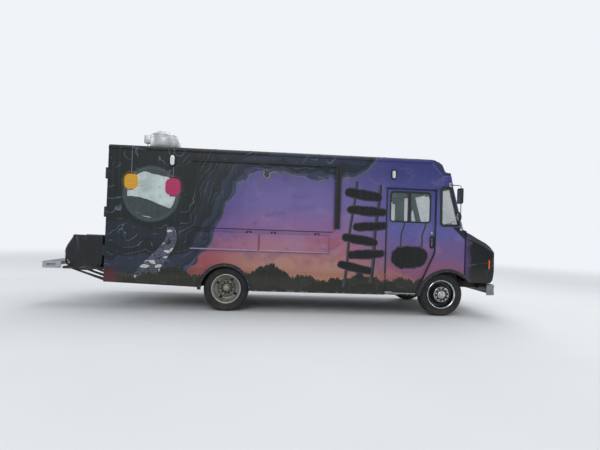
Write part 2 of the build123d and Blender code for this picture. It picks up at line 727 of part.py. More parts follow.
def make_grille():
    x0 = fx(GRILLE_X0)
    x1 = fx(GRILLE_X1)
    ring = block(x0, x1, -GRILLE_HALF, GRILLE_HALF, GRILLE_Z0, GRILLE_Z1)
    ring -= block(x0, x1, -GRILLE_HALF + GRILLE_FRAME, GRILLE_HALF - GRILLE_FRAME,
                  GRILLE_Z0 + GRILLE_FRAME, GRILLE_Z1 - GRILLE_FRAME)
    pitch = (GRILLE_Z1 - GRILLE_Z0 - GRILLE_FRAME) / (GRILLE_BARS + 1)
    for i in range(1, GRILLE_BARS + 1):
        z = GRILLE_Z0 + GRILLE_FRAME / 2 + i * pitch
        ring += block(x0 + 4, x1, -GRILLE_HALF, GRILLE_HALF, z - 8, z + 8)
    return ring


parts["grille"] = make_grille()


def make_headlamps():
    lamps = []
    for side in (-1, 1):
        box = block(fx(LAMP_X0), fx(LAMP_X1), side * LAMP_Y0, side * LAMP_Y1, LAMP_Z0, LAMP_Z1)
        for place in (LAMP_Y0 + EYE_IN, LAMP_Y1 - EYE_IN):
            box += rod_x(fx(LAMP_X1 - 8), fx(LAMP_X1 + EYE_OUT), side * place, (LAMP_Z0 + LAMP_Z1) / 2, EYE_R)
        lamps.append(box.solid())
    return Compound(children=lamps)


parts["headlamps"] = make_headlamps()

MARKER_X = 874
MARKER_Z0 = 912
MARKER_Z1 = 1082
ROOF_MARKERS = (-HALF_W + 270, -260, 0, 260, HALF_W - 270)


# The marker lamps on the cap stand on its sloping ledge
def ledge_z(x):
    (x0, z0), (x1, z1) = CAP_POINTS[4], CAP_POINTS[5]
    return z0 + (z1 - z0) * (x - x0) / (x1 - x0)


def make_markers():
    lamps = []
    for side in (-1, 1):
        lamps.append(block(fx(MARKER_X - 16), fx(MARKER_X + 16), side * HALF_W, side * (HALF_W + 14),
                           MARKER_Z0, MARKER_Z1))
    for y in ROOF_MARKERS:
        outline = ((20, ledge_z(20)), (78, ledge_z(78)), (70, ledge_z(70) + 34), (28, ledge_z(28) + 34))
        lamps.append(plate_xz(outline, y - 60, y + 60))
    return Compound(children=[lamp.solid() for lamp in lamps])


parts["marker_lamps"] = make_markers()

# x forward of the axle, height, half width, half height
OVALS = ((-5014, ROOF_Z - 238, 50, 107), (-989, ROOF_Z - 316, 38, 85))


def make_ovals():
    lamps = []
    for x, z, half_w, half_h in OVALS:
        slot = Plane.XZ * SlotCenterToCenter(2 * (half_h - half_w), 2 * half_w, rotation=90)
        lamp = Pos(fx(x), -HALF_W, z) * extrude(slot, amount=34, dir=(0, -1, 0))
        lamps += [lamp, other_side(lamp)]
    return Compound(children=[lamp.solid() for lamp in lamps])


parts["oval_lamps"] = make_ovals()

# Flared trims round the wheel arches
def flare(centre_x, centre_z, inner_r, low_z):
    section = ((inner_r, 0), (inner_r, FLARE_OUT), (inner_r + 16, FLARE_OUT),
               (inner_r + FLARE_W - 10, FLARE_OUT / 2), (inner_r + FLARE_W, 0))
    ring = turned(section, -HALF_W, fx(centre_x), centre_z, -1)
    span = inner_r + FLARE_W + 10
    ring -= block(fx(centre_x - span), fx(centre_x + span), -HALF_W - 60, -HALF_W + 1, centre_z - span, low_z)
    return ring


def make_flares():
    rear = flare(REAR_ARCH_X, REAR_ARCH_Z, REAR_ARCH_R, SKIRT_Z + 5)
    foot = flare(FRONT_ARCH_X, FRONT_ARCH_Z, FRONT_ARCH_R, SKIRT_Z)
    foot -= block(fx(FRONT_ARCH_X), fx(NOSE_TIP), -HALF_W - 60, -HALF_W + 1, 0, NOSE_BOTTOM)
    foot -= plate_xz(door_opening(DOOR_GAP), -HALF_W - 60, -HALF_W + 1)
    rear -= parts["wall_right"]
    solids = []
    for trim in (foot, rear):
        biggest = max(trim.solids(), key=lambda s: s.volume)
        solids += [biggest, other_side(biggest).solid()]
    return Compound(children=solids)


parts["wheel_arch_trims"] = make_flares()

# Front bumper: a channel with ends turned back round the corners, on two brackets
BUMPER_Z0 = 421
BUMPER_Z1 = 617
BUMPER_T = 10
BUMPER_DEEP = 190


def make_bumper():
    x1 = fx(NOSE_TIP)
    outer = block(x1 - BUMPER_DEEP, x1, -HALF_W, HALF_W, BUMPER_Z0, BUMPER_Z1)
    outer = fillet(outer.edges().filter_by(Axis.Z).group_by(Axis.X)[-1], 80)
    room = block(x1 - BUMPER_DEEP, x1 - BUMPER_T, -HALF_W + BUMPER_T, HALF_W - BUMPER_T,
                 BUMPER_Z0 + BUMPER_T, BUMPER_Z1 - BUMPER_T)
    room = fillet(room.edges().filter_by(Axis.Z).group_by(Axis.X)[-1], 70)
    outer -= room
    outer -= block(x1 - BUMPER_DEEP, x1 - BUMPER_T - 70, -HALF_W + 120, HALF_W - 120, BUMPER_Z0, BUMPER_Z1)
    for side in (-1, 1):
        y0 = RAIL_OUT_Y
        y1 = RAIL_OUT_Y + 14
        outer += block(fx(RAIL_FRONT - 260), x1 - BUMPER_T, side * y0, side * y1,
                       BUMPER_Z0 + 60, BUMPER_Z1 - 11)
    return outer


parts["front_bumper"] = make_bumper()

# Rear wall: a frame round the two door leaves, with tail lamps beside them
REAR_DOOR_HALF = 860
REAR_DOOR_Z0 = 800
REAR_DOOR_Z1 = ROOF_Z - 315
LEAF_GAP = 5
LEAF_T = 36
REAR_HINGES = ((ROOF_Z - 579, ROOF_Z - 448), (1655, 1774), (974, 1093))
HINGE_DEEP = 36


def make_rear_wall():
    wall = block(fx(REAR_WALL), fx(REAR_WALL) + WALL, -INNER, INNER, TAIL_SKIRT_Z + 20, ROOF_EDGE_Z + 40)
    wall -= block(fx(REAR_WALL) - 1, fx(REAR_WALL) + WALL + 1, -REAR_DOOR_HALF, REAR_DOOR_HALF,
                  REAR_DOOR_Z0, REAR_DOOR_Z1)
    return wall


parts["wall_rear"] = make_rear_wall()


def make_leaf(side):
    """A rear door leaf. It lies in the opening, with hinge straps outside."""
    x0 = fx(REAR_WALL)
    edge = REAR_DOOR_HALF - LEAF_GAP
    leaf = block(x0, x0 + LEAF_T, side * LEAF_GAP, side * edge,
                 REAR_DOOR_Z0 + LEAF_GAP, REAR_DOOR_Z1 - LEAF_GAP)
    leaf += block(x0 - 14, x0, side * 60, side * 75, REAR_DOOR_Z0 + 200, REAR_DOOR_Z1 - 220)
    return leaf


HINGE_AXIS_Y = REAR_DOOR_HALF + 20
HINGE_AXIS_X = REAR_WALL - 22


def make_rear_hinges(side):
    """Hinge straps on the leaf, with a barrel over the pin."""
    straps = None
    for z0, z1 in REAR_HINGES:
        strap = block(fx(HINGE_AXIS_X) - 6, fx(HINGE_AXIS_X) + 6, side * (REAR_DOOR_HALF - 200),
                      side * HINGE_AXIS_Y, z0, z1)
        strap += block(fx(HINGE_AXIS_X) - 6, fx(REAR_WALL), side * (REAR_DOOR_HALF - 200),
                       side * (REAR_DOOR_HALF - LEAF_GAP - 20), z0, z1)
        strap += rod_z(fx(HINGE_AXIS_X), side * HINGE_AXIS_Y, z0, z1, 14)
        straps = strap if straps is None else straps + strap
    for z0, z1 in REAR_HINGES:
        straps -= rod_z(fx(HINGE_AXIS_X), side * HINGE_AXIS_Y, z0 - 1, z1 + 1, 7 + RUN)
    return straps


parts["rear_door_left"] = make_leaf(1) + make_rear_hinges(1)
parts["rear_door_right"] = make_leaf(-1) + make_rear_hinges(-1)


def make_hinge_pins():
    """Black corner blocks on the rear wall that carry the leaf hinges' pins."""
    blocks = []
    for side in (-1, 1):
        for z0, z1 in REAR_HINGES:
            pin = rod_z(fx(HINGE_AXIS_X), side * HINGE_AXIS_Y, z0 - 32, z1 + 32, 7)
            for low in (z0 - 32, z1 + 5):
                pin += block(fx(HINGE_AXIS_X) - 16, fx(REAR_WALL), side * (HINGE_AXIS_Y - 12), side * HALF_W,
                             low, low + 27)
            pin += block(fx(HINGE_AXIS_X) - 16, fx(REAR_WALL), side * (HALF_W - 60), side * HALF_W,
                         z0 - 32, z1 + 32)
            blocks.append(pin.solid())
    return Compound(children=blocks)


parts["rear_hinge_blocks"] = make_hinge_pins()

TAIL_Y = HALF_W - 72
TAIL_Z = 640
TAIL_R = 46


def make_tail_lamps():
    lamps = []
    for side in (-1, 1):
        for z in (TAIL_Z, TAIL_Z + 130, ROOF_Z - 175):
            lamps.append(rod_x(fx(REAR_WALL) - 18, fx(REAR_WALL), side * TAIL_Y, z, TAIL_R).solid())
    return Compound(children=lamps)


parts["tail_lamps"] = make_tail_lamps()

# Rear rack, its plank step and the covered generator on the kerb side
RACK_Z = 705
RACK_END = -6890
RACK_CROSSES = (RACK_END, -6500, -6180)
COVER_X0 = -6900
COVER_X1 = -6190
COVER_Y0 = -HALF_W + 130
COVER_Y1 = COVER_Y0 + 640
COVER_TOP_Z = 1300
RACK_BARS = (COVER_Y0 + 20, COVER_Y0 + 340, COVER_Y0 + 660)


def make_rack():
    rack = None
    for y in RACK_BARS:
        beam = block(fx(RACK_END), fx(REAR_WALL), y - 20, y + 20, RACK_Z - 25, RACK_Z + 15)
        strut = plate_xz(((RACK_END + 150, RACK_Z - 25), (RACK_END + 220, RACK_Z - 25),
                          (REAR_WALL, 520), (REAR_WALL, 470)), y - 16, y + 16)
        rack = beam + strut if rack is None else rack + beam + strut
    for x in RACK_CROSSES:
        rack += block(fx(x), fx(x) + 40, RACK_BARS[0] - 20, RACK_BARS[-1] + 20, RACK_Z - 25, RACK_Z + 15)
    rack += block(fx(REAR_WALL) - 12, fx(REAR_WALL), RACK_BARS[0] - 24, RACK_BARS[-1] + 60,
                  TAIL_SKIRT_Z + 20, RACK_Z + 15)
    return rack


parts["rear_rack"] = make_rack()

PLANK_Z0 = 690
PLANK_Z1 = 807
PLANK_Y0 = -HALF_W + 70
PLANK_Y1 = PLANK_Y0 + 800
PLANK_T = 8


def make_plank():
    x0 = fx(PLANK_TIP)
    x1 = fx(RACK_END)
    plank = block(x0, x1, PLANK_Y0, PLANK_Y1, PLANK_Z0, PLANK_Z1)
    plank -= block(x0 + PLANK_T, x1, PLANK_Y0 + PLANK_T, PLANK_Y1 - PLANK_T, PLANK_Z0, PLANK_Z1 - PLANK_T)
    plank -= block(x0 + 70, x1 - 90, PLANK_Y0 - 1, PLANK_Y0 + PLANK_T + 1, PLANK_Z0 + 40, PLANK_Z1 - 34)
    return plank


parts["rack_plank"] = make_plank()


def make_cover():
    z0 = RACK_Z + 15
    body = block(fx(COVER_X0 + 10), fx(COVER_X1), COVER_Y0, COVER_Y1, z0, COVER_TOP_Z)
    body = chamfer(body.edges().filter_by(Axis.Y).group_by(Axis.Z)[-1], 120)
    body = fillet(body.edges().filter_by(Axis.Z), 60)
    body += block(fx(COVER_X1), fx(REAR_WALL), COVER_Y0 + 280, COVER_Y0 + 360, z0, z0 + 40)
    return body


parts["covered_generator"] = make_cover()

# Ledge over the hatch, black side channel and the hinge blocks of the shelves
LEDGE_X0 = -4682
LEDGE_X1 = -2077
CHANNEL_X0 = -2077
CHANNEL_X1 = -1967
CHANNEL_Z0 = 1558
CHANNEL_Z1 = ROOF_Z - 184
LEDGE_TOP = ROOF_Z - 195
HATCH_AXIS_Z = HATCH_Z1 + 14


def make_hatch_fittings():
    pieces = []
    ledge = block(fx(LEDGE_X0), fx(LEDGE_X1), -HALF_W - 34, -HALF_W, HATCH_AXIS_Z + 18, LEDGE_TOP)
    ledge = chamfer(ledge.edges().filter_by(Axis.X).group_by(Axis.Z)[-1].sort_by(Axis.Y)[0], 18)
    for x in HATCH_HINGES:
        ledge += rod_x(fx(x) - 40, fx(x) + 90, -HALF_W - HATCH_AXIS_OUT, HATCH_AXIS_Z, 5)
        ledge += block(fx(x) - 40, fx(x), -HALF_W - HATCH_AXIS_OUT - 5, -HALF_W,
                       HATCH_AXIS_Z - 5, HATCH_AXIS_Z + 18)
    channel = block(fx(CHANNEL_X0 + 6), fx(CHANNEL_X1), -HALF_W - 46, -HALF_W, CHANNEL_Z0, CHANNEL_Z1)
    channel -= block(fx(CHANNEL_X0 + 36), fx(CHANNEL_X1 - 30), -HALF_W - 46, -HALF_W - 16,
                     CHANNEL_Z0, CHANNEL_Z1)
    pieces += [ledge, channel]
    for pair in SHELF_HINGES:
        for x in pair:
            knob = block(fx(x) - 45, fx(x) + 45, -HALF_W - 4, -HALF_W, SHELF_AXIS_Z - 14, SHELF_AXIS_Z + 22)
            for low in (-45, 15):
                knob += block(fx(x) + low, fx(x) + low + 30, -HALF_W - SHELF_AXIS_OUT - 8, -HALF_W,
                              SHELF_AXIS_Z - 8, SHELF_AXIS_Z + 8)
            knob += rod_x(fx(x) - 45, fx(x) + 45, -HALF_W - SHELF_AXIS_OUT, SHELF_AXIS_Z, HINGE_PIN_R)
            pieces.append(knob)
    return Compound(children=[piece.solid() for piece in pieces])


HATCH_HINGES = (-4500, -3400, -2300)
parts["hatch_fittings"] = make_hatch_fittings()


# Serving hatch: a lapped panel hinged along its top edge
def make_hatch():
    face_in = -HALF_W - RUN
    face_out = -HALF_W - HATCH_PROUD
    hatch = block(fx(HATCH_X0), fx(HATCH_X1), face_out, face_in, HATCH_Z0, HATCH_Z1)
    hatch += block(fx(HATCH_X0 + HATCH_LAP + 8), fx(HATCH_X1 - HATCH_LAP - 8), face_in, -INNER - 2,
                   HATCH_Z0 + HATCH_LAP + 8, HATCH_Z1 - 20)
    for x in HATCH_HINGES:
        barrel = rod_x(fx(x) + 3, fx(x) + 87, -HALF_W - HATCH_AXIS_OUT, HATCH_AXIS_Z, 10)
        barrel += block(fx(x) + 3, fx(x) + 87, -HALF_W - HATCH_AXIS_OUT - 4, -HALF_W - HATCH_PROUD + 2,
                        HATCH_Z1 - 30, HATCH_AXIS_Z)
        barrel -= rod_x(fx(x) - 45, fx(x) + 95, -HALF_W - HATCH_AXIS_OUT, HATCH_AXIS_Z, 5.05)
        hatch += barrel
    return hatch


parts["serving_hatch"] = make_hatch()


# Shelves: flat panels that hang below the hatch and fold up level
def make_shelf(span, hinges):
    y1 = -HALF_W - SHELF_AXIS_OUT
    shelf = block(fx(span[0]), fx(span[1]), y1 - SHELF_T, y1, SHELF_BOTTOM, SHELF_TOP)
    for x in hinges:
        barrel = rod_x(fx(x) - 14, fx(x) + 14, y1, SHELF_AXIS_Z, 9)
        barrel += block(fx(x) - 14, fx(x) + 14, y1 - 9, y1, SHELF_TOP - 20, SHELF_AXIS_Z)
        barrel -= rod_x(fx(x) - 50, fx(x) + 50, y1, SHELF_AXIS_Z, HINGE_PIN_R + 0.05)
        shelf += barrel
    return shelf


for name, span, hinges in zip(("shelf_rear", "shelf_front"), SHELF_SPANS, SHELF_HINGES):
    parts[name] = make_shelf(span, hinges)

# Sliding cab doors on top tracks
TRACK_Z = DOOR_Z1 + 60
TRACK_Y0 = DOOR_Y1 + 12
TRACK_Y1 = DOOR_Y1 + 48
ROLLERS = (-950, -330)
ROLLER_R = 16
# The handle's cup in the door's outer face
CUP_X0 = -262
CUP_X1 = -190
CUP_Z0 = 1263
CUP_Z1 = 1485
CUP_DEEP = 16


def door_face():
    return ((DOOR_X0 - DOOR_LAP, DOOR_Z0 + DOOR_GAP), (DOOR_FOOT_X - DOOR_GAP - 2, DOOR_Z0 + DOOR_GAP),
            (DOOR_X1 - DOOR_GAP, DOOR_KNEE_Z + 3), (DOOR_X1 - DOOR_GAP, DOOR_Z1 - DOOR_GAP),
            (DOOR_X0 - DOOR_LAP, DOOR_Z1 - DOOR_GAP))


def window_room(grow):
    low, high = WINDOW_Z0 - grow, WINDOW_Z1 + grow
    room = block(fx(WINDOW_X0 - grow), fx(WINDOW_X1 + grow), -HALF_W, -INNER + 60, low, high)
    return rounded(room, Axis.Y, 60)


def make_door():
    door = plate_xz(door_face(), DOOR_Y0, DOOR_Y1)
    room = window_room(0)
    post = block(fx(WINDOW_POST_X) - WINDOW_POST_W / 2, fx(WINDOW_POST_X) + WINDOW_POST_W / 2,
                 -HALF_W, -INNER + 60, 1000, 2500)
    door -= room - post
    door -= block(fx(CUP_X0), fx(CUP_X1), DOOR_Y0, DOOR_Y0 + CUP_DEEP, CUP_Z0, CUP_Z1)
    door += block(fx(CUP_X0 + 26), fx(CUP_X1 - 22), DOOR_Y0 + 2, DOOR_Y0 + CUP_DEEP, CUP_Z0 + 37, CUP_Z1 - 35)
    for x in ROLLERS:
        door += block(fx(x) - 30, fx(x) + 30, DOOR_Y1, DOOR_Y1 + 6, DOOR_Z1 - 120, TRACK_Z)
        door += rod_y(fx(x), DOOR_Y1 + 6, TRACK_Y1 - 8, TRACK_Z, 6)
        door += rod_y(fx(x), TRACK_Y0 + 8, TRACK_Y1 - 8, TRACK_Z, ROLLER_R)
    return door


def make_door_glass():
    panes = []
    room = window_room(0)
    cuts = ((WINDOW_X0 - 5, WINDOW_POST_X - WINDOW_POST_W / 2),
            (WINDOW_POST_X + WINDOW_POST_W / 2, WINDOW_X1 + 5))
    for x0, x1 in cuts:
        slab = block(fx(x0), fx(x1), DOOR_Y0 + 14, DOOR_Y0 + 14 + GLASS_T, WINDOW_Z0 - 5, WINDOW_Z1 + 5)
        panes.append((slab & room).solid())
    return Compound(children=panes)


door = make_door()
glass = make_door_glass()
parts["cab_door_right"] = door
parts["cab_door_left"] = other_side(door)
parts["door_glass_right"] = glass
parts["door_glass_left"] = Compound(children=[other_side(pane).solid() for pane in glass.solids()])


def make_tracks():
    x0 = fx(CAB_SEAM - DOOR_TRAVEL - 40)
    x1 = fx(DOOR_X1)
    half = ROLLER_R + RUN
    track = block(x0, x1, TRACK_Y0, TRACK_Y1, TRACK_Z - half - 6, TRACK_Z + half + 6)
    track -= block(x0, x1, TRACK_Y0 + 5, TRACK_Y1 - 5, TRACK_Z - half, TRACK_Z + half)
    track -= block(x0, x1, TRACK_Y0 - 1, TRACK_Y0 + 6, TRACK_Z - 8, TRACK_Z + 8)
    for x in (x0, (x0 + x1) / 2, x1 - 60):
        track += block(x, x + 60, -INNER, TRACK_Y1, TRACK_Z + half + 6, TRACK_Z + half + 12)
    return Compound(children=[track.solid(), other_side(track).solid()])


parts["door_tracks"] = make_tracks()

# Mirrors: a tube loop from the cab corner with a tall head and a small round glass
MIRROR_OUT = HALF_W + 230
MIRROR_TOP = ROOF_Z - 463
HEAD_Z1 = ROOF_Z - 545
HEAD_Z0 = HEAD_Z1 - 278


def make_mirror():
    path = FilletPolyline(Vector(fx(88), -HALF_W + 5, MIRROR_TOP),
                          Vector(fx(205), -MIRROR_OUT, MIRROR_TOP - 27),
                          Vector(fx(195), -MIRROR_OUT, 1790), Vector(fx(318), -HALF_W + 5, 1650), radius=50)
    tube = sweep(Plane(origin=path @ 0, z_dir=path % 0) * RegularPolygon(10.5, 8), path=path)
    tube -= block(fx(0), fx(400), -HALF_W, -INNER, 1500, ROOF_Z)
    head = block(fx(160), fx(205), -MIRROR_OUT - 90, -MIRROR_OUT + 90, HEAD_Z0, HEAD_Z1)
    head = chamfer(head.edges().filter_by(Axis.X), 20)
    small = rod_x(fx(160), fx(196), -MIRROR_OUT, 1850, 88)
    return tube + head + small


mirror_right = make_mirror()
parts["mirrors"] = Compound(children=[mirror_right.solid(), other_side(mirror_right).solid()])

# Roof fan: a round upblast housing on a square kerb, with a switch box
FAN_X = -5430
FAN_R = 302
FAN_KERB_HALF = 240
FAN_BOX_X = -5844


def make_fan():
    base = ROOF_Z + ROOF_CROWN - 6
    kerb = block(fx(FAN_X - FAN_KERB_HALF), fx(FAN_X + FAN_KERB_HALF), -FAN_KERB_HALF, FAN_KERB_HALF,
                 base - ROOF_CROWN, base + 110)
    profile = ((0, base + 110), (FAN_R - 60, base + 110), (FAN_R, base + 180), (FAN_R, base + 400),
               (FAN_R - 50, base + 440), (FAN_R - 150, base + 440), (FAN_R - 150, base + 490),
               (0, base + 500))
    face = make_face(Plane.XZ * Polyline(*profile, close=True))
    drum = Pos(fx(FAN_X), 0, 0) * revolve(face, axis=Axis.Z)
    box = block(fx(FAN_BOX_X), fx(FAN_X - FAN_R + 40), -70, 70, base + 240, base + 400)
    fan = kerb + drum + box
    return fan - parts["roof"]


parts["roof_fan"] = make_fan()

# Inside the cab: engine cover, dash, column and driver's seat
COVER_TOP = 1190
SEAT_Y = HALF_W - 560
COLUMN_TILT = -58
COLUMN_L = 420
COLUMN_MID = (-40, 1440)
WHEEL_HUB = 15


def make_engine_cover():
    half = DOGHOUSE_HALF + 10
    cover = block(fx(DOGHOUSE_X0 - 10), fx(NOSE_SEAM_X - PANEL), -half, half, FLOOR_Z, COVER_TOP)
    cover = chamfer(cover.edges().filter_by(Axis.X).group_by(Axis.Z)[-1], 60)
    half = DOGHOUSE_HALF - 6
    room = block(fx(DOGHOUSE_X0 + 6), fx(NOSE_SEAM_X), -half, half, FLOOR_Z - 10, COVER_TOP - 16)
    room = chamfer(room.edges().filter_by(Axis.X).group_by(Axis.Z)[-1], 60)
    return cover - room


parts["engine_cover"] = make_engine_cover()


def make_dash():
    x1 = NOSE_SEAM_X - PANEL
    outline = ((x1 - 330, 1560), (x1 - 40, 1600), (x1, 1560), (x1, COVER_TOP), (x1 - 120, COVER_TOP),
               (x1 - 300, 1420))
    dash = plate_xz(outline, -INNER + 30, INNER - 30)
    column = Pos(fx(COLUMN_MID[0]), SEAT_Y, COLUMN_MID[1]) * Rot(0, COLUMN_TILT, 0) * Cylinder(28, COLUMN_L)
    return dash + column


parts["dashboard"] = make_dash()


def make_steering_wheel():
    section = Plane.XZ * Pos(205, 0) * RegularPolygon(14.5, 8)
    ring = revolve(section, axis=Axis.Z) + Cylinder(45, 2 * WHEEL_HUB)
    for turn in (0, 120, 240):
        ring += Rot(0, 0, turn) * Pos(105, 0, 0) * Box(200, 26, 12)
    centre = Pos(fx(COLUMN_MID[0]), SEAT_Y, COLUMN_MID[1]) * Rot(0, COLUMN_TILT, 0)
    return centre * Pos(0, 0, COLUMN_L / 2 + WHEEL_HUB + RUN) * ring


parts["steering_wheel"] = make_steering_wheel()


SEAT_X0 = -960
SEAT_X1 = -480
SEAT_Z0 = 1120
SEAT_Z1 = 1250
SEAT_TOP = 1960
SEAT_HALF = 250
PEDESTAL_HALF = 150


def make_seat():
    y = SEAT_Y
    base = block(fx(SEAT_X0 + 60), fx(SEAT_X1 - 80), y - PEDESTAL_HALF, y + PEDESTAL_HALF, FLOOR_Z, SEAT_Z0)
    base = chamfer(base.edges().filter_by(Axis.Z), 30)
    cushion = block(fx(SEAT_X0), fx(SEAT_X1), y - SEAT_HALF, y + SEAT_HALF, SEAT_Z0, SEAT_Z1)
    cushion = fillet(cushion.edges().filter_by(Axis.Z), 60)
    outline = ((SEAT_X0, SEAT_Z1), (SEAT_X0 + 100, SEAT_Z1), (SEAT_X0 - 20, SEAT_TOP),
               (SEAT_X0 - 100, SEAT_TOP))
    back = plate_xz(outline, y - SEAT_HALF + 20, y + SEAT_HALF - 20)
    return base + cushion + back


parts["driver_seat"] = make_seat()

# Steering knuckles: a fork round the axle boss, kingpin, spindle and steering arm.
# The arms point straight back, so arms, beam and rod make a parallelogram.
BALL_R = 12
EYE_R = 26
SPINDLE_OUT = 145


def make_knuckle():
    y = KINGPIN_Y
    pin = rod_z(FRONT_X, y, AXLE_Z - 92, AXLE_Z + 92, KINGPIN_R)
    fork = None
    for z0, z1 in ((AXLE_Z - 92, AXLE_Z - 56), (AXLE_Z + 56, AXLE_Z + 92)):
        lug = rod_z(FRONT_X, y, z0, z1, BOSS_R) + block(FRONT_X - 40, FRONT_X + 40, y, y + 80, z0, z1)
        fork = lug if fork is None else fork + lug
    fork += block(FRONT_X - 60, FRONT_X + 60, y + BOSS_R + 6, y + 80, AXLE_Z - 92, AXLE_Z + 92)
    spindle = rod_y(FRONT_X, y + 60, FRONT_Y + SPINDLE_OUT, AXLE_Z, SPINDLE_R)
    arm = block(FRONT_X - ARM_BACK - EYE_R, FRONT_X, y - EYE_R, y + EYE_R, TIE_Z - 38, TIE_Z - 18)
    arm += rod_z(FRONT_X - ARM_BACK, y, TIE_Z - 38, TIE_Z + 26, BALL_R)
    return pin + fork + spindle + arm


knuckle = make_knuckle()
parts["knuckle_left"] = knuckle
parts["knuckle_right"] = other_side(knuckle)


def make_tie_rod():
    x = FRONT_X - ARM_BACK
    y = KINGPIN_Y
    rod = rod_y(x, -y, y, TIE_Z + 5, 15)
    for side in (-1, 1):
        rod += rod_z(x, side * y, TIE_Z - 18 + RUN, TIE_Z + 22, EYE_R)
        rod -= rod_z(x, side * y, TIE_Z - 40, TIE_Z + 40, BALL_R + ROD_FREE)
    return rod


parts["tie_rod"] = make_tie_rod()

# Wheels. Points are radius and distance outboard of the tyre's middle.
TYRE = ((BEAD_R, -88), (RIM_R, -97), (330, -TYRE_W / 2), (387, -98), (TYRE_R, -72),
        (TYRE_R, 72), (387, 98), (330, TYRE_W / 2), (RIM_R, 97), (BEAD_R, 88))
TYRE_SIDES = 48


def tyre(y, x):
    """A tyre of flat facets, a corner down. Its inner facets lie round the rim, clear of it."""
    step = 2 * math.pi / TYRE_SIDES
    rows = []
    for radius, out in TYRE:
        reach = radius / math.cos(step / 2) if radius <= RIM_R else radius
        rows.append([Vector(x + reach * math.sin(i * step), y + out, AXLE_Z - reach * math.cos(i * step))
                     for i in range(TYRE_SIDES)])
    facets = []
    for first, second in zip(rows, rows[1:] + rows[:1]):
        for i in range(TYRE_SIDES):
            j = (i + 1) % TYRE_SIDES
            facets.append(Face(Wire.make_polygon([first[i], first[j], second[j], second[i]], close=True)))
    return Solid(Shell(facets))


# The rim's band under the tyre, with a flange each side
BAND = ((BEAD_R - 14, -96), (RIM_R, -110), (RIM_R, -97), (BEAD_R, -88), (BEAD_R, 88), (RIM_R, 97),
        (RIM_R, 110), (BEAD_R - 14, 96), (BEAD_R - 24, 44), (BEAD_R - 24, -44))
LUGS = 10
LUG_PCD_R = 112
STUD_OUT = 26
HUB_OUT = 158
LUG_FACE = 122
FRONT_DISC = ((HUB_BORE, -30), (HUB_BORE, HUB_OUT), (44, HUB_OUT), (50, 130), (134, LUG_FACE), (146, 108),
              (158, 15), (180, -26), (BEAD_R - 22, -36), (BEAD_R - 22, -48), (172, -40), (144, 0), (134, 104),
              (60, 108), (60, -30))
REAR_DISC = ((HUB_BORE, -120), (HUB_BORE, 40), (58, 40), (58, -26), (150, -26), (176, -6), (214, 6),
             (BEAD_R - 22, 6), (BEAD_R - 22, -8), (180, -20), (152, -40), (90, -40), (90, -120))


def lug_nuts(side, y, out, x):
    nuts = None
    for i in range(LUGS):
        turn = 2 * math.pi * i / LUGS
        place = Pos(x + LUG_PCD_R * math.cos(turn), side * (y + out), AXLE_Z + LUG_PCD_R * math.sin(turn))
        nut = place * Rot(-side * 90, 0, 0) * extrude(RegularPolygon(15, 6), amount=STUD_OUT)
        nuts = nut if nuts is None else nuts + nut
    return nuts


def front_rim(side):
    rim = turned(BAND, side * FRONT_Y, FRONT_X, AXLE_Z, side)
    rim += turned(FRONT_DISC, side * FRONT_Y, FRONT_X, AXLE_Z, side)
    return rim + lug_nuts(side, FRONT_Y, LUG_FACE - 2, FRONT_X)


HAND_HOLES = 4
HAND_HOLE_R = 24


def rear_rim(side):
    rim = turned(BAND, side * REAR_OUT_Y, REAR_X, AXLE_Z, side)
    rim += turned(BAND, side * REAR_IN_Y, REAR_X, AXLE_Z, side)
    middle = (REAR_OUT_Y + REAR_IN_Y) / 2
    rim += turned(REAR_DISC, side * REAR_OUT_Y, REAR_X, AXLE_Z, side)
    inner = ((90, -20), (90, 6), (BEAD_R - 22, 6), (BEAD_R - 22, -8))
    rim += turned(inner, side * REAR_IN_Y, REAR_X, AXLE_Z, side)
    drum = ((HUB_BORE, -140), (HUB_BORE, 60), (92, 60), (92, -140))
    rim += turned(drum, side * middle, REAR_X, AXLE_Z, side)
    for i in range(HAND_HOLES):
        turn = 2 * math.pi * (i + 0.5) / HAND_HOLES
        rim -= rod_y(REAR_X + 190 * math.cos(turn), side * (REAR_OUT_Y - 80), side * (REAR_OUT_Y + 60),
                     AXLE_Z + 190 * math.sin(turn), HAND_HOLE_R)
    return rim + lug_nuts(side, REAR_OUT_Y, -28, REAR_X)


for word, side in (("left", 1), ("right", -1)):
    parts["front_tyre_" + word] = tyre(side * FRONT_Y, FRONT_X)
    parts["front_rim_" + word] = front_rim(side)
    twins = [tyre(side * y, REAR_X) for y in (REAR_OUT_Y, REAR_IN_Y)]
    parts["rear_tyres_" + word] = Compound(children=twins)
    parts["rear_rim_" + word] = rear_rim(side)

os.makedirs("parts", exist_ok=True)
for name, shape in parts.items():
    export_step(shape, "parts/" + name + ".step")
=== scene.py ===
import math

import bmesh
import bpy
from mathutils import Matrix, Vector, noise


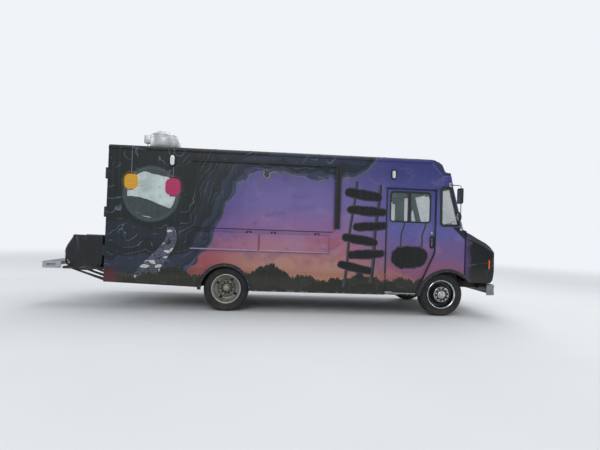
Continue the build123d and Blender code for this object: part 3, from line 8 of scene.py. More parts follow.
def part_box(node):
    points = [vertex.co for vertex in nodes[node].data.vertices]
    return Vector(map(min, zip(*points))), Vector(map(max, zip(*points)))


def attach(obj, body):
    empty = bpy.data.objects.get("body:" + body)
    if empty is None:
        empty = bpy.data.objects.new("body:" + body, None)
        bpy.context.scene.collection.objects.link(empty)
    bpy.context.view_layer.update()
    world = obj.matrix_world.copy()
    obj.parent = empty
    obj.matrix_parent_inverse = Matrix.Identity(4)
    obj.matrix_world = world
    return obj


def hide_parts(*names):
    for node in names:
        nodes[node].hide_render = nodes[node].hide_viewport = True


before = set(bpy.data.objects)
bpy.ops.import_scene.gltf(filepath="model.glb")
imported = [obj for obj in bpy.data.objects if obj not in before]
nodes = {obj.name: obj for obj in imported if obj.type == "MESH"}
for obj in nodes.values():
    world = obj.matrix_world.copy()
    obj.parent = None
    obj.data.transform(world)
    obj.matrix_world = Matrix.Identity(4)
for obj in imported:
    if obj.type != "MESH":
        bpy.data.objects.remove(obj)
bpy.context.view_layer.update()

# Main places, read from the frame, in metres
AXLE_F = (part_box("front_tyre_right")[0].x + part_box("front_tyre_right")[1].x) / 2
AXLE_R = (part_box("rear_tyres_right")[0].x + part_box("rear_tyres_right")[1].x) / 2
AXLE_Z = (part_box("front_tyre_right")[0].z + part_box("front_tyre_right")[1].z) / 2
HALF_W = 1.170
ROOF_Z = 2.915
# Ahead of the front axle: the cab's rear seam, and the rear wall's outer face
CAB_SEAM = -1.102
REAR = -6.129


def ahead(place):
    """X of a place given in metres forward of the front axle."""
    return AXLE_F + place


REAR_X = ahead(REAR)
# Wheel arches: centre ahead of the front axle, its height, radius, and the flare's first and last degree
ARCHES = ((-4.013, 0.385, 0.424, 1.0, 179.0), (0.090, 0.305, 0.522, 40.5, 168.2))


# Camera, fitted to the photograph's 600 x 450 frame
PHOTO_W = 600
FOCAL_PX = 440.2
SENSOR_MM = 36.0
CAMERA_AT = Vector((ahead(-3.2375), -9.1515, 1.4663))
CAMERA_YAW = math.radians(3.902)
CAMERA_PITCH = math.radians(0.9875)
CAMERA_ROLL = math.radians(2.0505)


def make_camera():
    """Looks along +Y, turned a little towards the nose and rolled as the photograph is."""
    data = bpy.data.cameras.new("camera")
    camera = bpy.data.objects.new("camera", data)
    bpy.context.scene.collection.objects.link(camera)
    data.sensor_width = SENSOR_MM
    data.lens = FOCAL_PX / PHOTO_W * SENSOR_MM
    data.clip_end = 200
    cos_pitch = math.cos(CAMERA_PITCH)
    forward = Vector((math.sin(CAMERA_YAW) * cos_pitch, math.cos(CAMERA_YAW) * cos_pitch,
                      math.sin(CAMERA_PITCH)))
    level = forward.cross(Vector((0, 0, 1))).normalized()
    upright = level.cross(forward)
    right = level * math.cos(CAMERA_ROLL) + upright * math.sin(CAMERA_ROLL)
    up = upright * math.cos(CAMERA_ROLL) - level * math.sin(CAMERA_ROLL)
    turn = Matrix((right, up, -forward)).transposed().to_4x4()
    camera.matrix_world = Matrix.Translation(CAMERA_AT) @ turn
    bpy.context.scene.camera = camera


# Shader maths: a value in a material that adds a Math node for each operator
class Value:
    """A socket in a material's tree. Arithmetic on it adds nodes."""

    def __init__(self, paint, socket):
        self.paint = paint
        self.socket = socket

    def maths(self, operation, *inputs, clamp=False):
        settings = {"operation": operation, "use_clamp": clamp}
        return self.paint.node("ShaderNodeMath", settings, list(inputs))

    def __add__(self, other):
        return self.maths("ADD", self, other)

    __radd__ = __add__

    def __sub__(self, other):
        return self.maths("SUBTRACT", self, other)

    def __rsub__(self, other):
        return self.maths("SUBTRACT", other, self)

    def __mul__(self, other):
        return self.maths("MULTIPLY", self, other)

    __rmul__ = __mul__

    def __truediv__(self, other):
        return self.maths("DIVIDE", self, other)

    def __rtruediv__(self, other):
        return self.maths("DIVIDE", other, self)

    def __gt__(self, other):
        return self.maths("GREATER_THAN", self, other)

    def __lt__(self, other):
        return self.maths("LESS_THAN", self, other)

    def low(self, other):
        return self.maths("MINIMUM", self, other)

    def high(self, other):
        return self.maths("MAXIMUM", self, other)

    def size(self):
        return self.maths("ABSOLUTE", self)

    def sine(self):
        return self.maths("SINE", self)

    def root(self):
        return self.maths("SQRT", self)

    def repeat(self, length):
        """Runs from 0 to length again and again."""
        return self.maths("MODULO", self.maths("ADD", self.maths("MODULO", self, length), length), length)

    def clip(self):
        return self.maths("ADD", self, 0.0, clamp=True)

    def smooth(self, start, end):
        """0 before start and 1 past end, eased between them."""
        settings = {"interpolation_type": "SMOOTHSTEP"}
        return self.paint.node("ShaderNodeMapRange", settings, [self, start, end, 0.0, 1.0])

    def band(self, centre, half, soft):
        """1 within half of centre, fading over soft."""
        return 1 - (self - centre).size().smooth(half, half + soft)


def srgb(red, green, blue):
    """A colour given as it looks on a screen, from 0 to 255, made linear."""
    steps = []
    for part in (red, green, blue):
        share = part / 255
        steps.append(share / 12.92 if share <= 0.04045 else ((share + 0.055) / 1.055) ** 2.4)
    return (*steps, 1.0)


def plug(tree, socket, given):
    """Links a socket or a Value, or sets a plain number, colour or object."""
    given = given.socket if isinstance(given, Value) else given
    if isinstance(given, bpy.types.NodeSocket):
        tree.links.new(given, socket)
    else:
        socket.default_value = given


def set_stops(ramp, ease, stops):
    """Sets a ramp's colours. Stops are (place, colour)."""
    ramp.interpolation = ease
    while len(ramp.elements) < len(stops):
        ramp.elements.new(0.5)
    for point, (place, colour) in zip(ramp.elements, stops):
        point.position = place
        point.color = colour


def add_node(tree, kind, settings, inputs):
    """A new node. Its settings and stops are made first, and then its inputs are plugged."""
    made = tree.nodes.new(kind)
    for key, setting in (settings or {}).items():
        if key == "stops":
            set_stops(made.color_ramp, *setting)
        else:
            setattr(made, key, setting)
    for key, given in inputs.items() if isinstance(inputs, dict) else enumerate(inputs):
        if given is not None:
            plug(tree, made.inputs[key], given)
    return made


class Paint:
    """A material under construction, on Object coordinates unless told otherwise."""

    def __init__(self, name):
        self.material = bpy.data.materials.new(name)
        self.material.use_nodes = True
        self.tree = self.material.node_tree
        self.tree.nodes.clear()
        self.out = self.tree.nodes.new("ShaderNodeOutputMaterial")
        self.shader = self.tree.nodes.new("ShaderNodeBsdfPrincipled")
        self.tree.links.new(self.shader.outputs[0], self.out.inputs[0])
        self.coords = self.tree.nodes.new("ShaderNodeTexCoord")
        self.object = Value(self, self.coords.outputs["Object"])
        split = self.tree.nodes.new("ShaderNodeSeparateXYZ")
        self.tree.links.new(self.object.socket, split.inputs[0])
        self.x, self.y, self.z = (Value(self, s) for s in split.outputs)

    def node(self, kind, settings=None, inputs=(), out=0):
        """Adds one node. Inputs are a list in socket order or a dict by socket name."""
        return Value(self, add_node(self.tree, kind, settings, inputs).outputs[out])

    def plug(self, socket, given):
        plug(self.tree, socket, given)

    def vector(self, x, y, z):
        return self.node("ShaderNodeCombineXYZ", None, [x, y, z])

    def noise(self, scale, detail=4.0, rough=0.5, at=None, warp=0.0):
        inputs = {"Vector": at or self.object, "Scale": scale, "Detail": detail, "Roughness": rough,
                  "Distortion": warp}
        return self.node("ShaderNodeTexNoise", None, inputs)

    def cells(self, scale, at=None, feature="F1", spread=1.0):
        inputs = {"Vector": at or self.object, "Scale": scale, "Randomness": spread}
        return self.node("ShaderNodeTexVoronoi", {"feature": feature}, inputs)

    def ramp(self, share, stops, ease):
        """Colours along a value. Stops are (place, colour)."""
        return self.node("ShaderNodeValToRGB", {"stops": (ease, stops)}, [share])

    def mix(self, share, first, second):
        """Mixes two colours by a value."""
        return self.node("ShaderNodeMix", {"data_type": "RGBA", "clamp_factor": True},
                         {0: share, 6: first, 7: second}, 2)

    def bump(self, height, strength, distance, under=None):
        inputs = {"Height": height, "Strength": strength, "Distance": distance}
        if under is not None:
            inputs["Normal"] = under
        return self.node("ShaderNodeBump", None, inputs)

    def finish(self, colour, rough=0.5, metal=0.0, normal=None, coat=0.0, coat_rough=0.1, glass=None,
               specular=None):
        sockets = self.shader.inputs
        self.plug(sockets["Base Color"], colour)
        self.plug(sockets["Roughness"], rough)
        self.plug(sockets["Metallic"], metal)
        if normal is not None:
            self.plug(sockets["Normal"], normal)
        self.plug(sockets["Coat Weight"], coat)
        sockets["Coat Roughness"].default_value = coat_rough
        if specular is not None:
            sockets["Specular IOR Level"].default_value = specular
        if glass is not None:
            self.plug(sockets["Alpha"], glass)
        return self.material


# Stage, light and the view settings
BACK = srgb(240, 243, 247)


def make_stage():
    """A wide floor that takes the background's colour with distance."""
    mesh = bpy.data.meshes.new("floor_stage")
    reach = 60
    mesh.from_pydata([(-reach, -reach, 0), (reach, -reach, 0), (reach, reach, 0), (-reach, reach, 0)], [],
                     [(0, 1, 2, 3)])
    floor = bpy.data.objects.new("floor_stage", mesh)
    bpy.context.scene.collection.objects.link(floor)
    paint = Paint("pale_floor")
    plain = paint.finish(paint.mix(paint.noise(0.4, 3), srgb(214, 214, 210), srgb(224, 224, 221)), rough=0.85)
    distance = (paint.x * paint.x + paint.y * paint.y).root()
    rays = add_node(paint.tree, "ShaderNodeLightPath", None, ()).outputs
    seen = Value(paint, rays["Is Camera Ray"]).high(Value(paint, rays["Is Glossy Ray"]))
    seen = seen.high(Value(paint, rays["Is Transmission Ray"]))
    haze = paint.node("ShaderNodeEmission", None, [BACK, 1.0])
    far = distance.smooth(5.5, 24.0) * seen
    blend = paint.node("ShaderNodeMixShader", None, [far, paint.shader.outputs[0], haze])
    paint.plug(paint.out.inputs[0], blend)
    mesh.materials.append(plain)


def make_light():
    world = bpy.data.worlds.new("studio")
    bpy.context.scene.world = world
    world.use_nodes = True
    tree = world.node_tree
    tree.nodes.clear()
    path = add_node(tree, "ShaderNodeLightPath", None, ()).outputs
    seen = add_node(tree, "ShaderNodeMath", {"operation": "MAXIMUM"},
                    [path["Is Camera Ray"], path["Is Transmission Ray"]])
    fill = add_node(tree, "ShaderNodeBackground", None, [srgb(226, 236, 252), 0.62])
    sky = add_node(tree, "ShaderNodeBackground", None, [BACK, 1.0])
    mix = add_node(tree, "ShaderNodeMixShader", None, [seen.outputs[0], fill.outputs[0], sky.outputs[0]])
    add_node(tree, "ShaderNodeOutputWorld", None, [mix.outputs[0]])
    # name, place, aim, size, power
    lamps = (
        ("key_soft", (-3.0, -13.0, 9.0), (0, 0, 1.2), 8.0, 620),
        ("top_soft", (2.0, 2.0, 12.0), (0, 0, 1.0), 10.0, 700),
        ("back_soft", (4.0, 12.0, 8.0), (0, 0, 1.2), 8.0, 420),
        ("nose_soft", (13.0, -3.0, 6.0), (0, 0, 1.2), 6.0, 320),
        ("tail_soft", (-13.0, 3.0, 6.0), (0, 0, 1.2), 6.0, 260),
    )
    for name, place, aim, size, power in lamps:
        data = bpy.data.lights.new(name, "AREA")
        data.shape = "DISK"
        data.size = size
        data.energy = power
        lamp = bpy.data.objects.new(name, data)
        bpy.context.scene.collection.objects.link(lamp)
        look = Vector(aim) - Vector(place)
        lamp.matrix_world = (Matrix.Translation(Vector(place))
                             @ look.to_track_quat("-Z", "Y").to_matrix().to_4x4())
    bpy.context.scene.view_settings.view_transform = "Standard"


# Materials
# Dusk sky of the wrap, as (height, colour) from the top down, over the tail, the hatch and the cab
DUSK_TAIL = ((2.70, (44, 42, 84)), (1.95, (58, 52, 112)), (1.48, (94, 74, 134)), (1.18, (138, 78, 104)),
             (0.88, (146, 66, 78)), (0.55, (118, 44, 60)))
DUSK_HATCH = ((2.70, (84, 78, 126)), (2.00, (112, 98, 150)), (1.52, (134, 98, 142)), (1.22, (162, 110, 128)),
              (0.92, (172, 126, 114)), (0.55, (180, 126, 98)))
DUSK_CAB = ((2.70, (56, 58, 114)), (2.00, (84, 84, 146)), (1.55, (92, 90, 150)), (1.22, (108, 86, 134)),
            (0.92, (128, 84, 116)), (0.55, (140, 80, 98)))
# Storm cloud's bands, from its rim inwards
CLOUD_BANDS = ((0.0, (52, 58, 80)), (0.09, (32, 38, 49)), (0.20, (44, 50, 68)), (0.34, (26, 33, 36)),
               (0.52, (33, 39, 48)), (0.70, (22, 30, 29)), (1.0, (18, 25, 23)))
# Washes over the sky: pitch, shift, lowest and highest place, strength, colour
WASHES = ((1.7, 2.0, 0.95, 1.35, 0.50, (154, 74, 96)), (1.3, 5.0, 0.60, 0.95, 0.45, (178, 116, 88)),
          (2.1, 9.0, 0.80, 2.60, 0.34, (66, 58, 104)), (2.4, 13.0, 1.20, 2.60, 0.22, (146, 128, 168)))
# Growth along the skirt: middle height, swell, length of swell, shift, colour
GROWTH = ((0.68, 0.62, 0.75, 0.0, (38, 42, 38)), (0.56, 0.46, 1.2, 4.1, (20, 25, 22)))
# Paper lanterns by the moon: centre ahead of the front axle, height, half width, half height, colour
LANTERNS = ((-5.72, 2.27, 0.120, 0.135, (216, 158, 44)), (-4.99, 2.20, 0.135, 0.155, (176, 48, 92)))
# Blank boards: centre ahead of the front axle, height, half width, half height, tilt
BOARDS = ((-1.54, 2.200, 0.355, 0.100, -0.13), (-1.47, 1.905, 0.375, 0.092, -0.05),
          (-1.40, 1.625, 0.330, 0.086, 0.08), (-1.58, 1.370, 0.340, 0.088, -0.14),
          (-1.46, 1.110, 0.350, 0.090, 0.07), (-1.66, 0.860, 0.330, 0.082, -0.20),
          (-0.640, 1.080, 0.345, 0.215, 0.05))
# Posts and ropes that carry the boards: foot and head, ahead of the axle and up, and half the width
POSTS = ((-1.86, 0.50, -1.68, 2.44, 0.026), (-1.36, 0.60, -1.24, 2.40, 0.032),
         (-0.84, 1.24, -0.76, 1.74, 0.014), (-0.44, 1.24, -0.36, 1.74, 0.014))


def wrap_paint(name, driver_side):
    """Printed dusk wrap over painted panels: a storm cloud, a violet to rose sky, and dark growth below."""
    paint = Paint(name)
    along = paint.x - AXLE_F
    if driver_side:
        along = along * -1.0 - 5.6
    up = paint.z
    flat = paint.vector(along, 0.0, up)
    blotch = paint.noise(1.1, 5, 0.55, flat)
    wash = paint.noise(3.2, 6, 0.62, flat, 0.3)
    grain = paint.noise(14, 5, 0.65, flat)
    # Sky, washed in like wet paint
    level = up + (wash - 0.5) * 0.24 + (blotch - 0.5) * 0.22
    rows = [paint.ramp((level - 0.45) / 2.4,
                       [((height - 0.45) / 2.4, srgb(*tone)) for height, tone in column[::-1]], "EASE")
            for column in (DUSK_TAIL, DUSK_HATCH, DUSK_CAB)]
    sway = along + (blotch - 0.5) * 1.2
    sky = paint.mix(sway.smooth(-4.9, -3.1), rows[0], rows[1])
    sky = paint.mix(sway.smooth(-2.0, -0.8), sky, rows[2])
    for pitch, shift, low, high, share, tone in WASHES:
        patch = paint.noise(pitch, 4, 0.6, paint.vector(along, shift, up * 1.3), 0.6).smooth(0.52, 0.70)
        sky = paint.mix((patch * up.band((low + high) / 2, (high - low) / 2, 0.25) * share).clip(), sky,
                        srgb(*tone))
    # Storm cloud from the rear and along the top. Round lobes stand out of its edge.
    lobes = paint.cells(2.3, paint.vector(along, 0.0, up * 1.15), spread=0.85)
    curls = paint.cells(6.5, flat, spread=0.9)
    base = 0.30 + (along + 5.0).smooth(0.0, 1.5) * 2.10 + (along + 1.75).smooth(0.0, 0.9) * 0.90
    depth = up - base + 0.24 - lobes * 0.42 - curls * 0.10 + (blotch - 0.5) * 0.18
    cloud = depth.smooth(-0.003, 0.006)
    slate = paint.ramp((depth * 0.62 + (wash - 0.5) * 0.06).clip(),
                       [(p, srgb(*tone)) for p, tone in CLOUD_BANDS], "CONSTANT")
    slate = paint.mix((grain.smooth(0.3, 0.75) * 0.30).clip(), slate, srgb(24, 31, 34))
    stroke = ((depth * 0.62).repeat(0.115).band(0.05, 0.0022, 0.003)
              * paint.noise(3.1, 3, 0.5, flat).smooth(0.47, 0.58))
    slate = paint.mix((stroke * 0.55).clip(), slate, srgb(118, 128, 144))
    # A pale moon behind thin cloud at the rear, and a winding path of flat stones below it
    moon_x = along + 5.36
    moon_z = up - 2.06
    ring = (moon_x * moon_x + moon_z * moon_z).root()
    moon = 1 - ring.smooth(0.418, 0.424)
    craters = paint.cells(7.5, flat, spread=1.0).smooth(0.10, 0.24)
    face = paint.mix((wash.smooth(0.35, 0.7) * 0.7).clip(), srgb(196, 208, 202), srgb(140, 152, 144))
    face = paint.mix(((1 - craters) * 0.45).clip(), face, srgb(116, 128, 122))
    veil = (up * 8.0 + (along * 2.4).sine() * 0.8 + (blotch - 0.5) * 2.6).sine().smooth(0.40, 0.50)
    slate = paint.mix((moon * (1 - veil * 0.92)).clip(), slate, face)
    halo = ring.band(0.46, 0.01, 0.05) * 0.35
    slate = paint.mix(halo.clip(), slate, srgb(104, 116, 118))
    for centre, height, wide, tall, tone in () if driver_side else LANTERNS:
        lean_x = (along - centre) / wide
        lean_z = (up - height) / tall
        thread = (along - centre).band(0.0, 0.0035, 0.003) * up.smooth(height, height + 0.002)
        slate = paint.mix((thread * 0.8).clip(), slate, srgb(126, 130, 132))
        glow = 1 - (lean_x * lean_x + lean_z * lean_z).smooth(0.9, 2.4)
        slate = paint.mix((glow * 0.16).clip(), slate, srgb(*tone))
        collar = lean_x.band(0.0, 0.34, 0.04) * lean_z.size().band(1.0, 0.09, 0.03)
        slate = paint.mix(collar.clip(), slate, srgb(22, 22, 26))
        body = 1 - (lean_x * lean_x + lean_z * lean_z * lean_z * lean_z).smooth(0.94, 1.0)
        ribs = (lean_z * 3.5 + lean_x * lean_x * 0.5).repeat(1.0).band(0.5, 0.05, 0.08)
        skin = paint.mix((ribs * 0.5 + (wash - 0.5) * 0.6).clip(), srgb(*tone), srgb(60, 34, 32))
        slate = paint.mix(body.clip(), slate, skin)
    bend = along + 5.35 + ((up * 3.3).sine() * 0.34) - (1.5 - up) * 0.30
    wide = 0.055 + (1.55 - up).high(0.0) * 0.17
    path = (1 - (bend.size() / wide).smooth(0.94, 1.0)) * (1 - up.smooth(1.46, 1.50))
    stones = paint.cells(8.0, paint.vector(along, 0.0, up * 1.9), "DISTANCE_TO_EDGE", 0.8).smooth(0.02, 0.05)
    tint = paint.node("ShaderNodeTexVoronoi", {"feature": "F1"},
                      {"Vector": paint.vector(along, 0.0, up * 1.9), "Scale": 8.0, "Randomness": 0.8},
                      "Color")
    pale = paint.node("ShaderNodeSeparateColor", None, [tint]).smooth(0.74, 0.78)
    stone = paint.mix(pale, srgb(84, 86, 102), srgb(186, 192, 186))
    stone = paint.mix(1 - stones, stone, srgb(32, 34, 40))
    slate = paint.mix(path.clip(), slate, stone)
    colour = paint.mix(cloud, sky, slate)
    rim = depth.band(0.012, 0.003, 0.005) + depth.band(0.052, 0.002, 0.004) * 0.7
    rim = rim * paint.noise(5, 3, 0.5, flat).smooth(0.44, 0.54)
    colour = paint.mix((rim * 0.75).clip(), colour, srgb(158, 160, 116))
    # Growth along the skirt, with blades and sprigs on its crest
    for middle, swell, pitch, shift, tone in GROWTH:
        row = paint.vector(along + shift, shift, 0.0)
        crest = paint.noise(pitch, 3, 0.5, row)
        blades = paint.noise(34, 2, 0.6, paint.vector(along + up * 0.35, shift, up * 0.30))
        tufts = paint.noise(8, 3, 0.6, paint.vector(along, shift, up * 0.6))
        top = middle + (crest - 0.5) * 2.0 * swell + (blades - 0.5) * 0.16 + (tufts - 0.5) * 0.20
        under = (top - up).smooth(-0.003, 0.004)
        shade = paint.mix((grain.smooth(0.35, 0.7) * 0.55).clip(), srgb(*tone), srgb(13, 16, 14))
        colour = paint.mix(under, colour, shade)
        sprig = (top - up).band(0.016, 0.008, 0.010) * paint.noise(60, 1, 0.5, flat).smooth(0.56, 0.62)
        colour = paint.mix((sprig * 0.65).clip(), colour, srgb(112, 112, 72))
    # Posts, ropes and blank boards
    for foot_x, foot_z, head_x, head_z, half in POSTS:
        rise = ((up - foot_z) / (head_z - foot_z)).clip()
        line = along - foot_x - rise * (head_x - foot_x) - (rise * 9.0).sine() * 0.012
        inside = up.smooth(foot_z - 0.004, foot_z) * (1 - up.smooth(head_z, head_z + 0.004))
        inside = inside * (1 - line.size().smooth(half, half + 0.004))
        plank = paint.mix(line.smooth(-half, half), srgb(74, 74, 84), srgb(34, 35, 39))
        colour = paint.mix(inside, colour, plank)
    for row, (centre, across, wide, tall, tilt) in enumerate(BOARDS):
        lean = math.cos(tilt)
        drop = math.sin(tilt)
        board_x = (along - centre) * lean + (up - across) * drop
        board_z = (up - across) * lean - (along - centre) * drop
        chips = paint.noise(7, 3, 0.6, paint.vector(along, row * 2.3, up)) - 0.5
        chips = chips * (0.10 if tall > 0.15 else 0.05)
        bend_x = board_x.size() - (wide - tall * 0.75) + chips * 0.6
        bend_z = board_z.size() - tall * 0.25 + chips + board_x * board_x * (0.16 if tall < 0.15 else 0.5)
        corner = (bend_x.high(0.0) * bend_x.high(0.0) + bend_z.high(0.0) * bend_z.high(0.0)).root()
        edge = corner + bend_x.high(bend_z).low(0.0) - tall * 0.75
        lines = paint.noise(7, 3, 0.6, paint.vector(along * 0.6, row * 1.7, up * 9))
        wood = paint.mix((lines * 0.5).clip(), srgb(13, 14, 15), srgb(29, 30, 32))
        wood = paint.mix((edge.band(-0.010, 0.0025, 0.004) * 0.7).clip(), wood, srgb(92, 88, 98))
        colour = paint.mix(1 - edge.smooth(-0.001, 0.003), colour, wood)
    # Distance ahead of the front axle, the same on both sides
    true = paint.x - AXLE_F
    tail_red = ((1 - (true + (wash - 0.5) * 0.30).smooth(-6.00, -5.82))
                * (1 - (up + (wash - 0.5) * 0.3).smooth(0.62, 0.80)))
    colour = paint.mix((tail_red * 0.55).clip(), colour, srgb(104, 28, 50))
    stripe = ((up + true * 0.914 - 1.803).smooth(0.0, 0.005) * true.smooth(0.15, 0.17)
              * (1 - up.smooth(1.66, 1.67)))
    colour = paint.mix(stripe, colour, srgb(28, 31, 34))
    # Painted shade over the cab cap's corner facet above its crease, and a painted highlight along the crease
    crease = up - (2.551 - true * 1.067).high(2.606)
    cap_facet_shading = true.smooth(-0.26, -0.25)
    colour = paint.mix((cap_facet_shading * crease.smooth(0.0, 0.006) * 0.55).clip(), colour, srgb(34, 34, 58))
    colour = paint.mix((cap_facet_shading * crease.band(0.004, 0.003, 0.005) * 0.6).clip(), colour, srgb(120, 116, 176))
    # Road dust low down, rain streaks, and bare pale wear on the lowest edge
    dust = 1 - up.smooth(0.36, 0.95)
    colour = paint.mix((dust * grain * 0.30).clip(), colour, srgb(112, 104, 90))
    rain = paint.noise(1.0, 4, 0.6, paint.vector(along * 22, 0.0, up * 0.7)).smooth(0.50, 0.72)
    colour = paint.mix((rain * 0.035).clip(), colour, srgb(150, 150, 150))
    worn = (1 - up.smooth(0.388, 0.412)) * grain.smooth(0.50, 0.60)
    colour = paint.mix((worn * 0.8).clip(), colour, srgb(168, 168, 164))
    # Faces that look inwards are lining, steel in the kitchen and grey in the cab
    pocket = (paint.y.size() < HALF_W - 0.012) * (true < CAB_SEAM - 0.001) * (true > CAB_SEAM - 0.848)
    within = ((paint.y.size() < HALF_W - 0.034) * (paint.x > REAR_X + 0.020)).high(pocket)
    lining = paint.mix((true > CAB_SEAM) * 1.0, srgb(178, 180, 180), srgb(74, 75, 78))
    lining = paint.mix((grain * 0.25).clip(), lining, srgb(120, 121, 120))
    colour = paint.mix(within, colour, lining)
    rough = 0.40 + grain * 0.16 + dust * 0.18
    ripple = paint.bump(paint.noise(2.3, 2, 0.5, flat), 0.12, 0.01)
    pores = paint.bump(paint.noise(220, 2, 0.5), 0.05, 0.0006, ripple)
    return paint.finish(colour, rough, 0.0, pores, 0.10, 0.25, specular=0.28)


def nose_paint(name):
    """Near-black nose with soft brushed swirls, and a little of the wrap's violet by its rear seam."""
    paint = Paint(name)
    along = paint.x - AXLE_F
    blotch = paint.noise(2.2, 5, 0.6)
    at = paint.vector(along, 0.0, paint.z)
    swirl = paint.noise(1.5, 3, 0.5, at, 1.2)
    lines = ((swirl * 9.0 + blotch * 1.5).repeat(1.0).band(0.5, 0.03, 0.10)
             * paint.noise(2.7, 3, 0.5, at).smooth(0.46, 0.62))
    colour = paint.mix((blotch.smooth(0.35, 0.7) * 0.6).clip(), srgb(19, 22, 22), srgb(31, 35, 35))
    on_side = paint.y.size().smooth(HALF_W - 0.06, HALF_W - 0.02)
    colour = paint.mix((lines * on_side * 0.55).clip(), colour, srgb(88, 96, 98))
    seam = ((1 - (along + (blotch - 0.5) * 0.22).smooth(0.44, 0.56)) * on_side
            * (1 - paint.z.smooth(1.42, 1.60)))
    colour = paint.mix((seam * 0.9).clip(), colour, srgb(88, 66, 112))
    dust = 1 - paint.z.smooth(0.62, 1.1)
    grain = paint.noise(60, 3, 0.6)
    colour = paint.mix((dust * grain * 0.35).clip(), colour, srgb(104, 98, 86))
    return paint.finish(colour, 0.34 + grain * 0.14 + dust * 0.15, 0.0, paint.bump(grain, 0.06, 0.0008),
                        0.10, 0.15, specular=0.22)


def plain_paint(name, tone, worn, rough, metal=0.0, coat=0.0, speck=0.5):
    """A painted, moulded or metal finish with mottling, fine grain and a little wear."""
    paint = Paint(name)
    mottle = paint.noise(3.5, 5, 0.6)
    grain = paint.noise(90, 3, 0.6)
    tone, worn = srgb(*tone), srgb(*worn)
    colour = paint.mix((mottle.smooth(0.38, 0.72) * speck).clip(), tone, worn)
    colour = paint.mix((grain * 0.18).clip(), colour, worn)
    roughness = rough + (grain - 0.5) * 0.12 + (mottle - 0.5) * 0.10
    relief = paint.bump(grain, 0.10, 0.0008)
    return paint.finish(colour, roughness, metal, relief, coat)


def brushed(name, tone, worn, rough, axis="x"):
    """Metal with fine drawn lines along one direction."""
    paint = Paint(name)
    stretch = {"x": (3, 160, 160), "y": (160, 3, 160), "z": (160, 160, 3)}[axis]
    at = paint.node("ShaderNodeVectorMath", {"operation": "MULTIPLY"}, [paint.object, stretch])
    lines = paint.noise(1.0, 4, 0.6, at)
    stain = paint.noise(2.2, 5, 0.6)
    tone, worn = srgb(*tone), srgb(*worn)
    colour = paint.mix((stain.smooth(0.4, 0.75) * 0.55).clip(), tone, worn)
    colour = paint.mix((lines * 0.25).clip(), colour, worn)
    relief = paint.bump(lines, 0.12, 0.0006)
    return paint.finish(colour, rough + (lines - 0.5) * 0.2 + (stain - 0.5) * 0.15, 0.9, relief)


def clear_glass(name, tint, alpha):
    paint = Paint(name)
    smear = paint.noise(2.6, 4, 0.6)
    dust = paint.noise(40, 3, 0.6)
    colour = paint.mix((smear * 0.3).clip(), srgb(*tint), srgb(150, 160, 160))
    return paint.finish(colour, 0.04 + smear * 0.05, 0.0, paint.bump(dust, 0.02, 0.0004), 0.4, 0.02,
                        alpha + smear.smooth(0.45, 0.8) * 0.10)


def tyre_rubber(name):
    paint = Paint(name)
    mottle = paint.noise(9, 5, 0.6)
    fine = paint.noise(160, 3, 0.6)
    colour = paint.mix((mottle.smooth(0.35, 0.7) * 0.7).clip(), srgb(26, 26, 27), srgb(52, 50, 47))
    low = 1 - paint.z.smooth(0.0, 0.22)
    colour = paint.mix((low * mottle * 0.6).clip(), colour, srgb(92, 84, 70))
    return paint.finish(colour, 0.78 + (fine - 0.5) * 0.2, 0.0, paint.bump(fine, 0.25, 0.001))


# Painted, moulded and metal finishes: colour, worn colour, roughness, metal, coat, speck
PLAIN = {
    "roof_cap": ((30, 33, 46), (19, 21, 30), 0.6),
    "cap_indigo": ((46, 46, 84), (32, 33, 60), 0.5, 0.0, 0.1, 0.8),
    "black_trim": ((20, 20, 21), (42, 42, 43), 0.55),
    "chassis_black": ((30, 29, 28), (74, 64, 52), 0.7, 0.0, 0.0, 0.8),
    "cast_steel": ((74, 70, 66), (52, 44, 38), 0.6, 0.5, 0.0, 0.9),
    "chrome": ((205, 206, 208), (160, 160, 158), 0.13, 1.0, 0.0, 0.35),
    "wheel_silver": ((196, 192, 182), (120, 112, 98), 0.4, 0.55, 0.0, 0.8),
    "dull_steel": ((92, 92, 92), (48, 46, 43), 0.42, 0.7, 0.0, 0.8),
    "worn_steel": ((142, 140, 136), (84, 80, 74), 0.45, 0.6, 0.0, 0.8),
    "fan_metal": ((214, 216, 214), (160, 160, 152), 0.42, 0.35, 0.0, 0.6),
    "lens_amber": ((232, 96, 30), (200, 70, 18), 0.22, 0.0, 0.6, 0.3),
    "lens_red": ((160, 22, 20), (110, 14, 12), 0.22, 0.0, 0.6, 0.3),
    "cab_grey": ((66, 67, 70), (44, 44, 46), 0.68),
    "seat_vinyl": ((206, 212, 222), (166, 172, 184), 0.5),
    "cover_cloth": ((9, 9, 12), (26, 26, 30), 0.38),
    "mirror_glass": ((214, 218, 222), (190, 196, 200), 0.06, 1.0, 0.0, 0.3),
    "lens_frost": ((222, 224, 218), (190, 192, 182), 0.3, 0.0, 0.5, 0.5),
    "lilac_edge": ((150, 126, 168), (186, 176, 190), 0.5, 0.0, 0.0, 0.7),
}
# Brushed metal: colour, worn colour, roughness, direction of the lines
BRUSHED = {
    "aluminium": ((190, 192, 194), (140, 140, 138), 0.34, "x"),
    "floor_plate": ((150, 150, 148), (104, 102, 98), 0.45, "x"),
    "bumper_alloy": ((142, 143, 144), (104, 104, 102), 0.42, "y"),
    "liner_steel": ((188, 190, 192), (150, 150, 148), 0.42, "z"),
}
finishes = {
    "wrap_right": wrap_paint("wrap_right", False),
    "wrap_left": wrap_paint("wrap_left", True),
    "nose_black": nose_paint("nose_black"),
    "tyre_rubber": tyre_rubber("tyre_rubber"),
    "glass": clear_glass("glass", (120, 138, 134), 0.22),
    "lens_clear": clear_glass("lens_clear", (226, 228, 224), 0.26),
}
finishes.update({name: plain_paint(name, *row) for name, row in PLAIN.items()})
finishes.update({name: brushed(name, *row) for name, row in BRUSHED.items()})

